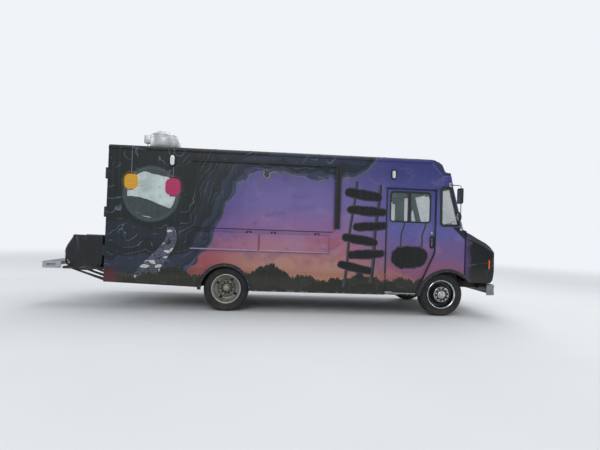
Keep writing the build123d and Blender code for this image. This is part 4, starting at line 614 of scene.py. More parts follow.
# Which CAD nodes take which finish
DRESSING = {
    "wrap_left": ("wall_left", "cab_side_left", "cab_door_left"),
    "wrap_right": ("wall_right", "cab_side_right", "cab_door_right", "serving_hatch", "shelf_rear",
                   "shelf_front", "wall_rear", "rear_door_left", "rear_door_right"),
    "cap_indigo": ("cab_front",),
    "roof_cap": ("roof",),
    "nose_black": ("nose_shell", "hood_lid"),
    "black_trim": ("grille", "hatch_fittings", "rear_hinge_blocks", "wheel_arch_trims", "steering_wheel"),
    "chassis_black": ("chassis_frame", "front_axle", "rear_axle", "leaf_springs", "front_wheel_houses",
                      "radiator", "rear_rack", "knuckle_left", "knuckle_right", "tie_rod"),
    "cast_steel": ("drive_shaft", "engine_block", "exhaust"),
    "bumper_alloy": ("front_bumper",),
    "aluminium": ("fuel_tank", "rack_plank", "door_tracks"),
    "fan_metal": ("roof_fan",),
    "chrome": ("mirrors", "front_rim_left", "front_rim_right"),
    "wheel_silver": ("rear_rim_left", "rear_rim_right"),
    "tyre_rubber": ("front_tyre_left", "front_tyre_right", "rear_tyres_left", "rear_tyres_right"),
    "glass": ("cab_glass", "door_glass_right", "door_glass_left"),
    "lens_clear": ("headlamps", "oval_lamps"),
    "lens_amber": ("marker_lamps",),
    "lens_red": ("tail_lamps",),
    "floor_plate": ("floor",),
    "cab_grey": ("dashboard", "engine_cover"),
    "seat_vinyl": ("driver_seat",),
    "cover_cloth": ("covered_generator",),
}
for finish, names in DRESSING.items():
    for name in names:
        nodes[name].data.materials.clear()
        nodes[name].data.materials.append(finishes[finish])


# Forms: a small mesh builder, in metres and in the part's own frame
PLACE = {
    "x": lambda a, b, depth: Vector((depth, a, b)),
    "y": lambda a, b, depth: Vector((a, depth, b)),
    "z": lambda a, b, depth: Vector((a, b, depth)),
}
SIDES = (("left", 1), ("right", -1))
KERB = -1


def ring_points(radius, steps):
    turns = [2 * math.pi * i / steps for i in range(steps)]
    return [(radius * math.cos(t), radius * math.sin(t)) for t in turns]


def bent(points, radius, steps, loop=False):
    """A line of points with its corners rounded off."""
    corners = [Vector(p) for p in points]
    count = len(corners)
    line = []
    for i, corner in enumerate(corners):
        if not loop and i in (0, count - 1):
            line.append(corner)
            continue
        before = corners[i - 1]
        after = corners[(i + 1) % count]
        cut = min(radius, (before - corner).length * 0.48, (after - corner).length * 0.48)
        start = corner + (before - corner).normalized() * cut
        end = corner + (after - corner).normalized() * cut
        for k in range(steps + 1):
            t = k / steps
            line.append(start * (1 - t) ** 2 + corner * 2 * t * (1 - t) + end * t ** 2)
    return line


def box_outline(x0, x1, z0, z1):
    return ((x0, z0), (x1, z0), (x1, z1), (x0, z1))


def rounded(corners, radius):
    """A closed outline of pairs with its corners rounded off."""
    return [(p.x, p.y) for p in bent([(a, b, 0) for a, b in corners], radius, 5, loop=True)]


class Form:
    """A mesh under construction from closed solids."""

    def __init__(self):
        self.mesh = bmesh.new()

    def prism(self, outline, axis, near, far, soft=0.0, steps=2):
        """An outline given depth along an axis, with its edges rounded by soft."""
        rows = [[self.mesh.verts.new(PLACE[axis](a, b, depth)) for a, b in outline] for depth in (near, far)]
        count = len(outline)
        faces = [self.mesh.faces.new(row) for row in rows]
        for i in range(count):
            j = (i + 1) % count
            faces.append(self.mesh.faces.new((rows[0][i], rows[0][j], rows[1][j], rows[1][i])))
        if soft:
            edges = list({edge for face in faces for edge in face.edges})
            bmesh.ops.bevel(self.mesh, geom=edges, offset=soft, segments=steps, profile=0.5, affect="EDGES",
                            clamp_overlap=True)
        return self

    def bar(self, low, high, soft, steps=2):
        """A block between two corners, with its edges rounded by soft."""
        (x0, y0, z0), (x1, y1, z1) = low, high
        return self.prism(((x0, y0), (x1, y0), (x1, y1), (x0, y1)), "z", z0, z1, soft, steps)

    def lathe(self, profile, centre, axis, steps, ring=False):
        """A profile of (radius, along) turned about an axis. With ring, the profile closes on itself."""
        rows = []
        for radius, along in profile:
            spots = ring_points(radius, steps) if radius > 1e-6 else [(0.0, 0.0)]
            rows.append([self.mesh.verts.new(Vector(centre) + PLACE[axis](a, b, along)) for a, b in spots])
        pairs = list(zip(rows, rows[1:]))
        if ring:
            pairs.append((rows[-1], rows[0]))
        for first, second in pairs:
            for i in range(steps):
                j = (i + 1) % steps
                corners = (first[i % len(first)], first[j % len(first)], second[j % len(second)],
                           second[i % len(second)])
                kept = list(dict.fromkeys(corners))
                if len(kept) > 2:
                    self.mesh.faces.new(kept)
        return self

    def sweep(self, path, section, loop=False, up=(0, 0, 1)):
        """A closed section of (side, lift) pairs carried along a path."""
        path = [Vector(p) for p in path]
        count = len(path)
        rows = []
        lift = Vector(up)
        for i, point in enumerate(path):
            before = path[i - 1] if i or loop else point
            after = path[(i + 1) % count] if i < count - 1 or loop else point
            run = (after - before).normalized()
            side = run.cross(lift).normalized()
            lift = side.cross(run)
            rows.append([self.mesh.verts.new(point + side * a + lift * b) for a, b in section])
        pairs = list(zip(rows, rows[1:]))
        if loop:
            pairs.append((rows[-1], rows[0]))
        else:
            self.mesh.faces.new(rows[0])
            self.mesh.faces.new(rows[-1])
        size = len(section)
        for first, second in pairs:
            for i in range(size):
                j = (i + 1) % size
                self.mesh.faces.new((first[i], first[j], second[j], second[i]))
        return self

    def tube(self, path, radius, steps, loop=False, up=(0, 0, 1)):
        return self.sweep(path, ring_points(radius, steps), loop, up)

    def row(self, sample, finish, count, start, pitch):
        """Adds a straight row of copies of another form."""
        return self.take(along_row.run(sample, finish, Count=count, Start=start, Pitch=pitch))

    def take(self, mesh):
        """Adds a finished mesh."""
        self.mesh.from_mesh(mesh)
        bpy.data.meshes.remove(mesh)
        return self

    def made(self, name):
        """The plain mesh, with every face pointing out."""
        bmesh.ops.recalc_face_normals(self.mesh, faces=self.mesh.faces)
        mesh = bpy.data.meshes.new(name)
        self.mesh.to_mesh(mesh)
        self.mesh.free()
        return mesh


def show(name, mesh):
    shown = bpy.data.objects.new(name, mesh)
    bpy.context.scene.collection.objects.link(shown)
    return shown


def dressed(shown, finish, body, replaces):
    """Gives a piece its finish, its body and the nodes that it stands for."""
    shown.data.materials.clear()
    shown.data.materials.append(finishes[finish])
    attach(shown, body)
    if replaces:
        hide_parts(*replaces)
    return shown


def piece(name, form, finish, body="truck_body", replaces=(), crease=35, cuts=None):
    """Puts a form in the scene as a piece of the truck, on a body."""
    shown = show(name, form.made(name))
    if cuts is not None:
        cutter = show(name + "_cutter", cuts.made(name + "_cutter"))
        step = shown.modifiers.new("cut", "BOOLEAN")
        step.operation = "DIFFERENCE"
        step.object = cutter
        shown.data = plain_copy(shown)
        shown.modifiers.clear()
        bpy.data.objects.remove(cutter)
    shown.data.shade_smooth()
    shown.data.set_sharp_from_angle(angle=math.radians(crease))
    return dressed(shown, finish, body, replaces)


def plain_copy(shown):
    """The object's mesh with its modifiers worked in."""
    depsgraph = bpy.context.evaluated_depsgraph_get()
    return bpy.data.meshes.new_from_object(shown.evaluated_get(depsgraph), depsgraph=depsgraph)


class Tree:
    """A Geometry Nodes tree that repeats one small form, with named inputs."""

    def __init__(self, name, sizes):
        self.tree = bpy.data.node_groups.new(name, "GeometryNodeTree")
        self.tree.is_modifier = True
        face = self.tree.interface
        face.new_socket("Geometry", in_out="INPUT", socket_type="NodeSocketGeometry")
        face.new_socket("Geometry", in_out="OUTPUT", socket_type="NodeSocketGeometry")
        face.new_socket("Form", in_out="INPUT", socket_type="NodeSocketObject")
        face.new_socket("Finish", in_out="INPUT", socket_type="NodeSocketMaterial")
        for label, kind in sizes:
            face.new_socket(label, in_out="INPUT", socket_type=kind)
        self.given = self.tree.nodes.new("NodeGroupInput").outputs

    def node(self, kind, settings=None, inputs=(), out=0):
        return add_node(self.tree, kind, settings, inputs).outputs[out]

    def copies(self, points, turn, size=None):
        """Ends the tree: the form at every point, made real, in its finish."""
        shape = self.node("GeometryNodeObjectInfo", None, {"Object": self.given["Form"]}, "Geometry")
        inputs = {"Points": points, "Instance": shape, "Rotation": turn, "Scale": size}
        spread = self.node("GeometryNodeInstanceOnPoints", None, inputs)
        real = self.node("GeometryNodeRealizeInstances", None, [spread])
        dressed = self.node("GeometryNodeSetMaterial", None,
                            {"Geometry": real, "Material": self.given["Finish"]})
        end = self.tree.nodes.new("NodeGroupOutput")
        self.tree.links.new(dressed, end.inputs[0])

    def run(self, form, finish, points=None, **sizes):
        """The plain mesh that the tree makes of a form."""
        sample = show("pattern_form", form.made("pattern_form"))
        carrier = show("pattern_carrier", points or bpy.data.meshes.new("pattern_points"))
        step = carrier.modifiers.new("pattern", "NODES")
        step.node_group = self.tree
        sockets = {item.name: item.identifier for item in self.tree.interface.items_tree
                   if item.item_type == "SOCKET" and item.in_out == "INPUT"}
        step[sockets["Form"]] = sample
        step[sockets["Finish"]] = finishes[finish]
        for label, size in sizes.items():
            step[sockets[label.replace("_", " ").capitalize()]] = size
        mesh = plain_copy(carrier)
        carrier.modifiers.clear()
        bpy.data.objects.remove(carrier)
        bpy.data.objects.remove(sample)
        return mesh


def make_ring_tree():
    """Copies turned evenly about an axle that runs across the truck."""
    tree = Tree("around_axle", (("Count", "NodeSocketInt"), ("Centre", "NodeSocketVector"),
                                ("First turn", "NodeSocketFloat")))
    count = tree.given["Count"]
    points = tree.node("GeometryNodePoints", None, {"Count": count, "Position": tree.given["Centre"]})
    index = tree.node("GeometryNodeInputIndex")
    share = tree.node("ShaderNodeMath", {"operation": "DIVIDE"}, [index, count])
    turn = tree.node("ShaderNodeMath", {"operation": "MULTIPLY_ADD"},
                     [share, 2 * math.pi, tree.given["First turn"]])
    euler = tree.node("ShaderNodeCombineXYZ", None, [0.0, turn, 0.0])
    tree.copies(points, tree.node("FunctionNodeEulerToRotation", None, [euler]))
    return tree


def make_row_tree():
    """Copies in a straight row."""
    tree = Tree("along_row", (("Count", "NodeSocketInt"), ("Start", "NodeSocketVector"),
                              ("Pitch", "NodeSocketVector")))
    index = tree.node("GeometryNodeInputIndex")
    run = tree.node("ShaderNodeVectorMath", {"operation": "SCALE"},
                    {"Vector": tree.given["Pitch"], "Scale": index})
    place = tree.node("ShaderNodeVectorMath", {"operation": "ADD"}, [tree.given["Start"], run])
    points = tree.node("GeometryNodePoints", None, {"Count": tree.given["Count"], "Position": place})
    tree.copies(points, None)
    return tree


def make_facing_tree():
    """Copies stood up on the points of a mesh, each along that point's own facing."""
    tree = Tree("facing_out", (("Size", "NodeSocketFloat"),))
    facing = tree.node("GeometryNodeInputNamedAttribute", {"data_type": "FLOAT_VECTOR"}, {"Name": "facing"})
    turn = tree.node("FunctionNodeAlignRotationToVector", {"axis": "Z"}, {"Vector": facing})
    tree.copies(tree.given["Geometry"], turn, tree.given["Size"])
    return tree


around_axle = make_ring_tree()
along_row = make_row_tree()
facing_out = make_facing_tree()

# Wheels. Profiles are radius and distance outboard of the tyre's middle, in metres.
TYRE_W = 0.225
TWIN_GAP = 0.035
TYRE_Y = HALF_W - 0.058 - TYRE_W / 2
TYRE_IN_Y = TYRE_Y - TYRE_W - TWIN_GAP
TYRE_HALF = (
    (0.246, 0.087), (0.263, 0.0965), (0.268, 0.102), (0.276, 0.105), (0.284, 0.1085), (0.295, 0.1098),
    (0.2975, 0.1118), (0.3035, 0.1118), (0.306, 0.110), (0.330, 0.1123), (0.352, 0.1112), (0.356, 0.1122),
    (0.360, 0.1106), (0.374, 0.108), (0.377, 0.1062), (0.385, 0.0985), (0.395, 0.086), (0.3995, 0.077),
    (0.4015, 0.069), (0.403, 0.057), (0.3945, 0.0555), (0.3945, 0.049), (0.404, 0.0475), (0.4045, 0.023),
    (0.3955, 0.0215), (0.3955, 0.015), (0.4047, 0.0135), (0.405, 0.0),
)
TREAD_BLOCK = ((0.383, 0.098), (0.387, 0.1035), (0.398, 0.0925), (0.404, 0.080), (0.4046, 0.069),
               (0.398, 0.069))
BLOCK_HALF = 0.013
BLOCKS = 58
WHEEL_BAND = (
    (0.232, -0.096), (0.262, -0.110), (0.262, -0.097), (0.246, -0.088), (0.246, 0.088), (0.262, 0.0975),
    (0.2655, 0.104), (0.264, 0.1095), (0.2585, 0.112), (0.252, 0.110), (0.247, 0.104), (0.242, 0.099),
    (0.240, 0.094), (0.2365, 0.084), (0.230, 0.066), (0.225, 0.050), (0.2225, 0.040), (0.222, -0.044),
)
FRONT_DOME = (
    (0.0, 0.165), (0.015, 0.1645), (0.019, 0.162), (0.021, 0.157), (0.038, 0.155), (0.044, 0.152),
    (0.048, 0.145), (0.048, 0.132), (0.054, 0.127), (0.064, 0.1255), (0.069, 0.1235), (0.074, 0.1225),
    (0.133, 0.122), (0.140, 0.1195), (0.144, 0.113), (0.147, 0.100), (0.1485, 0.088), (0.142, 0.084),
    (0.136, 0.096), (0.130, 0.110), (0.0, 0.110),
)
FRONT_BOWL = (
    (0.135, 0.090), (0.1475, 0.090), (0.151, 0.065), (0.156, 0.025), (0.164, -0.005), (0.178, -0.024),
    (0.196, -0.034), (0.210, -0.037), (0.224, -0.037), (0.224, -0.048), (0.196, -0.046),
    (0.168, -0.030), (0.150, -0.006), (0.144, 0.030), (0.138, 0.070),
)
REAR_DISH = (
    (0.1385, -0.042), (0.146, -0.030), (0.156, -0.012), (0.165, -0.004), (0.178, 0.001), (0.206, 0.008),
    (0.218, 0.007), (0.224, 0.005), (0.224, -0.008), (0.208, -0.006), (0.178, -0.013),
    (0.162, -0.020), (0.148, -0.048),
)
REAR_HUB = (
    (0.0, 0.042), (0.020, 0.0415), (0.024, 0.039), (0.026, 0.034), (0.042, 0.033), (0.050, 0.029),
    (0.054, 0.022), (0.055, -0.015), (0.060, -0.033), (0.068, -0.037), (0.127, -0.0375),
    (0.130, -0.034), (0.134, -0.029), (0.139, -0.0285), (0.143, -0.032), (0.1445, -0.038),
    (0.140, -0.050), (0.0, -0.050),
)
NUT = ((0.0, 0.0), (0.0185, 0.0), (0.0185, 0.003), (0.0165, 0.0045), (0.0165, 0.018), (0.014, 0.0215),
       (0.0095, 0.0215), (0.0085, 0.029), (0.006, 0.031), (0.0, 0.0315))
LUG_R = 0.112
LUGS = 10
DRUM = ((0.0, -0.150), (0.205, -0.150), (0.212, -0.140), (0.212, -0.075), (0.200, -0.063), (0.120, -0.056),
        (0.0, -0.056))
# Dark rings that the lug nuts stand on
FRONT_FACE = ((0.0725, 0.1205), (0.0725, 0.1236), (0.1315, 0.1234), (0.1315, 0.1205))
REAR_FACE = ((0.069, -0.039), (0.069, -0.036), (0.1262, -0.0362), (0.1262, -0.039))


def mirrored(half):
    """A profile given from one edge to its middle, carried on to the other edge."""
    return list(half) + [(radius, -out) for radius, out in reversed(half[:-1])]


def outboard(profile, side):
    return [(radius, side * out) for radius, out in profile]


def add_tyre(form, x, y, side):
    """One tyre: lathed case with four grooves, and rows of tread blocks round both shoulders."""
    centre = (x, side * y, AXLE_Z)
    form.lathe(outboard(mirrored(TYRE_HALF), side), centre, "y", 80, ring=True)
    for out in (1, -1):
        block = Form().prism([(radius, out * along) for radius, along in TREAD_BLOCK], "z", -BLOCK_HALF,
                             BLOCK_HALF)
        turn = math.pi / BLOCKS if out > 0 else 0.0
        form.take(around_axle.run(block, "tyre_rubber", Count=BLOCKS, Centre=centre, First_turn=turn))


def turned(name, profile, finish, body, centre, side, steps=96, ring=True, crease=40, cuts=None):
    """A piece lathed about an axle, outboard on its own side."""
    form = Form().lathe(outboard(profile, side), centre, "y", steps, ring=ring)
    piece(name, form, finish, body, (), crease, cuts)


def add_nuts(name, finish, body, x, side, out):
    """A ring of lug nuts on a hub, out from the tyre's middle."""
    nut = Form().lathe(outboard(NUT, side), (LUG_R, 0, 0), "y", 6)
    centre = (x, side * (TYRE_Y + out), AXLE_Z)
    form = Form().take(around_axle.run(nut, "chrome", Count=LUGS, Centre=centre, First_turn=0.2))
    piece(name, form, finish, body, (), 30)


def make_wheels():
    for word, side in SIDES:
        front, rear = "front_wheel_" + word, "rear_wheel_" + word
        tyre = Form()
        add_tyre(tyre, AXLE_F, TYRE_Y, side)
        piece("front_road_tyre_" + word, tyre, "tyre_rubber", front, ["front_tyre_" + word], 50)
        tyres = Form()
        for y in (TYRE_Y, TYRE_IN_Y):
            add_tyre(tyres, AXLE_R, y, side)
        piece("rear_road_tyres_" + word, tyres, "tyre_rubber", rear, ["rear_tyres_" + word], 50)
        centre = (AXLE_F, side * TYRE_Y, AXLE_Z)
        rim = Form().lathe(outboard(WHEEL_BAND, side), centre, "y", 96, ring=True)
        rim.lathe(outboard(FRONT_DOME, side), centre, "y", 96)
        piece("front_wheel_rim_" + word, rim, "chrome", front, ["front_rim_" + word], 40)
        turned("front_wheel_bowl_" + word, FRONT_BOWL, "dull_steel", front, centre, side)
        turned("front_hub_face_" + word, FRONT_FACE, "chassis_black", front, centre, side, 64, crease=30)
        add_nuts("front_lug_nuts_" + word, "chrome", front, AXLE_F, side, 0.122)
        centre = (AXLE_R, side * TYRE_Y, AXLE_Z)
        rim = Form().lathe(outboard(WHEEL_BAND, side), centre, "y", 96, ring=True)
        rim.lathe(outboard(REAR_HUB, side), centre, "y", 96)
        rim.lathe(outboard(WHEEL_BAND, -side), (AXLE_R, side * TYRE_IN_Y, AXLE_Z), "y", 96, ring=True)
        piece("rear_wheel_rim_" + word, rim, "wheel_silver", rear, ["rear_rim_" + word], 40)
        hole = Form().lathe(((0.0, -0.06), (0.025, -0.06), (0.025, 0.06), (0.0, 0.06)), (0.186, 0, 0), "y",
                            20)
        holes = Form().take(around_axle.run(hole, "chrome", Count=4, Centre=centre, First_turn=0.55))
        turned("rear_wheel_dish_" + word, REAR_DISH, "worn_steel", rear, centre, side, cuts=holes)
        turned("rear_hub_face_" + word, REAR_FACE, "chassis_black", rear, centre, side, 64, crease=30)
        add_nuts("rear_lug_nuts_" + word, "wheel_silver", rear, AXLE_R, side, -0.0375)
        turned("brake_drum_" + word, DRUM, "cast_steel", rear, centre, side, 48, False, 30)


def make_arch_liners():
    """Dark liners over the rear wheels, with an inner plate, so that no daylight shows past the tyres."""
    for word, side in SIDES:
        form = Form()
        x = AXLE_R - 0.010
        line = [(x + 0.492 * math.cos(t), 0.395 + 0.484 * math.sin(t)) for t in
                (math.radians(-2 + 183 * i / 36) for i in range(37))]
        inner = [(x + (a - x) * 0.985, 0.395 + (b - 0.395) * 0.985) for a, b in line[::-1]]
        form.prism(line + inner, "y", side * 0.606, side * (HALF_W - 0.022))
        notch = [(x + 0.17 * math.cos(t), 0.42 + 0.15 * math.sin(t)) for t in
                 (math.radians(180 - 180 * i / 12) for i in range(13))]
        form.prism(line + [(a, b - 0.10 if i in (0, 12) else b) for i, (a, b) in enumerate(notch)], "y",
                   side * 0.604, side * 0.609)
        piece("rear_wheel_liner_" + word, form, "chassis_black")


# Rear generator: a tube frame with an engine, a tank and a panel, under a fitted cloth cover
GEN_X0 = ahead(-6.880)
GEN_X1 = ahead(-6.200)
GEN_Y0 = -1.030
GEN_Y1 = -0.410
GEN_Z0 = 0.722
GEN_TOP = 1.285
GEN_TUBE = 0.017


def make_generator():
    form = Form()
    x0, x1, y0, y1 = GEN_X0 + 0.03, GEN_X1 - 0.03, GEN_Y0 + 0.03, GEN_Y1 - 0.03
    for y in (y0, y1):
        hoop = bent([(x0, y, GEN_Z0 + 0.02), (x0, y, 0.99), (x0 + 0.20, y, GEN_TOP - 0.02),
                     (x1, y, GEN_TOP - 0.02), (x1, y, GEN_Z0 + 0.02)], 0.09, 6, loop=True)
        form.tube(hoop, GEN_TUBE, 10, loop=True, up=(0, 1, 0))
    for x, z in ((x0 + 0.12, GEN_Z0 + 0.02), (x1 - 0.12, GEN_Z0 + 0.02), (x0 + 0.24, GEN_TOP - 0.045),
                 (x1 - 0.12, GEN_TOP - 0.045)):
        form.tube([(x, y0, z), (x, y1, z)], GEN_TUBE * 0.9, 10)
    piece("generator_tube_frame", form, "black_trim", replaces=["covered_generator"])
    form = Form()
    xm = (x0 + x1) / 2
    form.bar((x0 + 0.05, y0 + 0.07, GEN_Z0 + 0.05), (xm + 0.02, y1 - 0.07, 1.02), 0.03, 3)
    form.lathe(((0, -0.14), (0.14, -0.14), (0.155, -0.12), (0.155, 0.10), (0.13, 0.13), (0, 0.13)),
               (x1 - 0.16, (y0 + y1) / 2, 0.93), "x", 32)
    form.bar((x0 + 0.02, y0 + 0.05, GEN_Z0 - 0.001), (x1 - 0.02, y1 - 0.05, GEN_Z0 + 0.05), 0.01)
    piece("generator_engine", form, "cast_steel")
    form = Form()
    form.bar((x0 + 0.15, y0 + 0.06, 1.05), (x1 - 0.07, y1 - 0.06, 1.19), 0.045, 4)
    form.lathe(((0, 0), (0.035, 0), (0.04, 0.006), (0.04, 0.024), (0.034, 0.03), (0, 0.03)),
               (xm, (y0 + y1) / 2, 1.19), "z", 24)
    piece("generator_tank", form, "wheel_silver")


# Roof fan: kerb with a flashing, louvred drum, domed lid with a rolled edge, and a switch box
FAN_AT = (ahead(-5.430), 0.0, 0.0)
FAN_BASE = ROOF_Z + 0.016
FAN_DRUM = ((0.0, 0.090), (0.238, 0.090), (0.246, 0.100), (0.262, 0.128), (0.290, 0.166), (0.298, 0.180),
            (0.298, 0.322), (0.293, 0.334), (0.268, 0.342), (0.0, 0.346))
# The lid sits towards the tail, flush with the drum there
FAN_LID_BACK = 0.034
FAN_LID = ((0.0, 0.330), (0.262, 0.330), (0.264, 0.336), (0.264, 0.390), (0.268, 0.394), (0.268, 0.406),
           (0.263, 0.413), (0.242, 0.428), (0.202, 0.446), (0.152, 0.460), (0.147, 0.464), (0.145, 0.476),
           (0.138, 0.484), (0.100, 0.492), (0.040, 0.497), (0.0, 0.498))


def make_fan():
    base = (FAN_AT[0], 0.0, FAN_BASE)
    form = Form()
    form.bar((FAN_AT[0] - 0.238, -0.238, ROOF_Z - 0.004), (FAN_AT[0] + 0.238, 0.238, FAN_BASE + 0.098), 0.006)
    form.bar((FAN_AT[0] - 0.239, -0.239, FAN_BASE + 0.082), (FAN_AT[0] + 0.239, 0.239, FAN_BASE + 0.108),
             0.005)
    form.lathe(FAN_DRUM, base, "z", 72)
    form.lathe(FAN_LID, (FAN_AT[0] - FAN_LID_BACK, 0.0, FAN_BASE), "z", 72)
    for turn in range(12):
        rib = Form().bar((0.294, -0.006, FAN_BASE + 0.182), (0.3015, 0.006, FAN_BASE + 0.318), 0.003)
        bmesh.ops.rotate(rib.mesh, verts=rib.mesh.verts, cent=(0, 0, 0),
                         matrix=Matrix.Rotation(turn * math.pi / 6, 3, "Z"))
        bmesh.ops.translate(rib.mesh, verts=rib.mesh.verts, vec=FAN_AT)
        form.take(rib.made("fan_rib"))
    piece("roof_fan_housing", form, "fan_metal", "truck_body", ["roof_fan"], 30)
    form = Form()
    x0 = ahead(-5.842)
    form.bar((x0, -0.068, FAN_BASE + 0.242), (x0 + 0.128, 0.068, FAN_BASE + 0.398), 0.008)
    form.bar((x0 - 0.001, -0.056, FAN_BASE + 0.256), (x0 + 0.02, 0.056, FAN_BASE + 0.384), 0.004)
    form.tube([(x0 + 0.10, 0.02, FAN_BASE + 0.30), (ahead(-5.70), 0.02, FAN_BASE + 0.30)], 0.016, 12)
    form.tube(bent([(x0 + 0.06, 0.0, FAN_BASE + 0.25), (x0 + 0.06, 0.0, FAN_BASE + 0.06),
                    (FAN_AT[0] - 0.22, 0.0, FAN_BASE + 0.045)], 0.07, 6), 0.012, 10, up=(0, 1, 0))
    piece("fan_switch_box", form, "fan_metal", crease=30)


# Mirrors: a bent tube on two foot plates, a tall black head and a small round glass, both facing back
MIRROR_Y = HALF_W + 0.230
MIRROR_TOP = ROOF_Z - 0.463
HEAD_TOP = ROOF_Z - 0.545
HEAD_TALL = 0.278
MIRROR_FOOT = 1.650
ROUND_Z = 1.850


def head_outline(side, inset, radius):
    """The tall head's rounded outline from behind, drawn in by inset."""
    y, wide = side * MIRROR_Y, 0.088 - inset
    return rounded(box_outline(y - wide, y + wide, HEAD_TOP - HEAD_TALL + inset, HEAD_TOP - inset), radius)


def make_mirrors():
    for word, side in SIDES:
        y, foot_y = side * MIRROR_Y, side * (HALF_W + 0.002)
        loop = bent([(ahead(0.088), foot_y, MIRROR_TOP), (ahead(0.205), y, MIRROR_TOP - 0.027),
                     (ahead(0.195), y, 1.790), (ahead(0.318), foot_y, MIRROR_FOOT)], 0.06, 8)
        form = Form().tube(loop, 0.0105, 14, up=(1, 0, 0))
        for x, z in ((0.088, MIRROR_TOP), (0.318, MIRROR_FOOT)):
            form.bar((ahead(x) - 0.022, side * HALF_W, z - 0.04),
                     (ahead(x) + 0.022, side * (HALF_W + 0.007), z + 0.04), 0.003)
        for z in (HEAD_TOP - 0.05, HEAD_TOP - HEAD_TALL + 0.05, ROUND_Z):
            form.bar((ahead(0.186), y - 0.014, z - 0.012), (ahead(0.220), y + 0.014, z + 0.012), 0.004)
        piece("mirror_arm_" + word, form, "chrome", "truck_body", ["mirrors"], 40)
        centre = (ahead(0), y, ROUND_Z)
        form = Form().prism(head_outline(side, 0.0, 0.03), "x", ahead(0.160), ahead(0.204), 0.010, 3)
        form.lathe(((0, 0.158), (0.082, 0.158), (0.087, 0.163), (0.087, 0.170), (0.074, 0.186),
                    (0.045, 0.196), (0, 0.199)), centre, "x", 40)
        piece("mirror_head_" + word, form, "black_trim", crease=40)
        form = Form().prism(head_outline(side, 0.009, 0.024), "x", ahead(0.1592), ahead(0.162))
        form.lathe(((0, 0.152), (0.040, 0.1535), (0.076, 0.1578), (0.078, 0.160), (0, 0.160)), centre, "x",
                   40)
        piece("mirror_glass_" + word, form, "mirror_glass", crease=40)


# Lamps: bowls behind clear lenses in a black surround, and ribbed oval lenses on the sides
LAMP_Y = (HALF_W - 0.530, HALF_W - 0.160)
LAMP_Z = (0.890, 1.090)
LAMP_EYES = (LAMP_Y[0] + 0.095, LAMP_Y[1] - 0.095)
EYE_Z = 0.990
BOWL = ((0.0, -0.052), (0.030, -0.050), (0.056, -0.034), (0.070, -0.010), (0.0745, 0.010), (0.080, 0.012),
        (0.084, 0.008), (0.084, -0.004), (0.076, -0.012), (0.060, -0.040), (0.032, -0.056), (0.0, -0.058))
LENS = ((0.0, 0.0175), (0.030, 0.0165), (0.055, 0.0135), (0.074, 0.009), (0.074, 0.006), (0.055, 0.0105),
        (0.030, 0.0135), (0.0, 0.0145))


def make_headlamps():
    face = ahead(0.966)
    for word, side in SIDES:
        low, high = sorted((side * LAMP_Y[0], side * LAMP_Y[1]))
        shell = Form().bar((ahead(0.905), low, LAMP_Z[0]), (face + 0.004, high, LAMP_Z[1]), 0.008, 3)
        eyes = Form()
        for eye in LAMP_EYES:
            eyes.lathe(((0.0, -0.08), (0.0805, -0.08), (0.0805, 0.05), (0.0, 0.05)),
                       (face, side * eye, EYE_Z), "x", 48)
        piece("headlamp_surround_" + word, shell, "black_trim", "truck_body", ["headlamps"], 35, cuts=eyes)
        bowls = Form()
        lenses = Form()
        for eye in LAMP_EYES:
            bowls.lathe(BOWL, (face, side * eye, EYE_Z), "x", 48)
            lenses.lathe(LENS, (face, side * eye, EYE_Z), "x", 48)
            bowls.lathe(((0.0, -0.050), (0.012, -0.048), (0.014, -0.020), (0.009, -0.012), (0.0, -0.010)),
                        (face, side * eye, EYE_Z), "x", 20)
        piece("headlamp_bowls_" + word, bowls, "chrome", crease=30)
        piece("headlamp_lenses_" + word, lenses, "lens_clear", crease=30)


def lens_outline(half_w, half_h):
    """A tall slot with round ends."""
    points = []
    steps = 10
    for i in range(steps + 1):
        turn = math.pi * i / steps
        points.append((half_w * math.cos(turn), half_h - half_w + half_w * math.sin(turn)))
    return points + [(-a, -b) for a, b in points]


OVALS = ((ahead(-5.014), ROOF_Z - 0.238, 0.050, 0.107), (ahead(-0.989), ROOF_Z - 0.316, 0.038, 0.085))


def make_ovals():
    for word, side in SIDES:
        surround = Form()
        lens = Form()
        for x, z, half_w, half_h in OVALS:
            edge = [(x + a, z + b) for a, b in lens_outline(half_w, half_h)]
            path = [Vector((a, side * (HALF_W + 0.008), b)) for a, b in edge]
            surround.sweep(path, [(a, b * 1.3) for a, b in ring_points(0.0125, 12)], loop=True, up=(0, 1, 0))
            surround.prism(edge, "y", side * (HALF_W - 0.001), side * (HALF_W + 0.012))
            inner = [(x + a * 0.74, z + b * 0.84) for a, b in lens_outline(half_w, half_h)]
            lens.prism(inner, "y", side * HALF_W, side * (HALF_W + 0.024), 0.011, 4)
            rib = Form().bar((-half_w * 0.52, side * (HALF_W + 0.0225), -0.0018),
                             (half_w * 0.52, side * (HALF_W + 0.0262), 0.0018), 0.0008, 1)
            count = int((half_h - half_w) * 2 / 0.012)
            lens.row(rib, "lens_frost", count, (x, 0, z - count * 0.006 + 0.006), (0, 0, 0.012))
        piece("oval_lamp_surrounds_" + word, surround, "black_trim", replaces=["oval_lamps"])
        piece("oval_lamp_lenses_" + word, lens, "lens_frost")


# Front bumper: a pressed channel with rounded ends, its bolts and two brackets
BUMPER_Z = (0.421, 0.617)


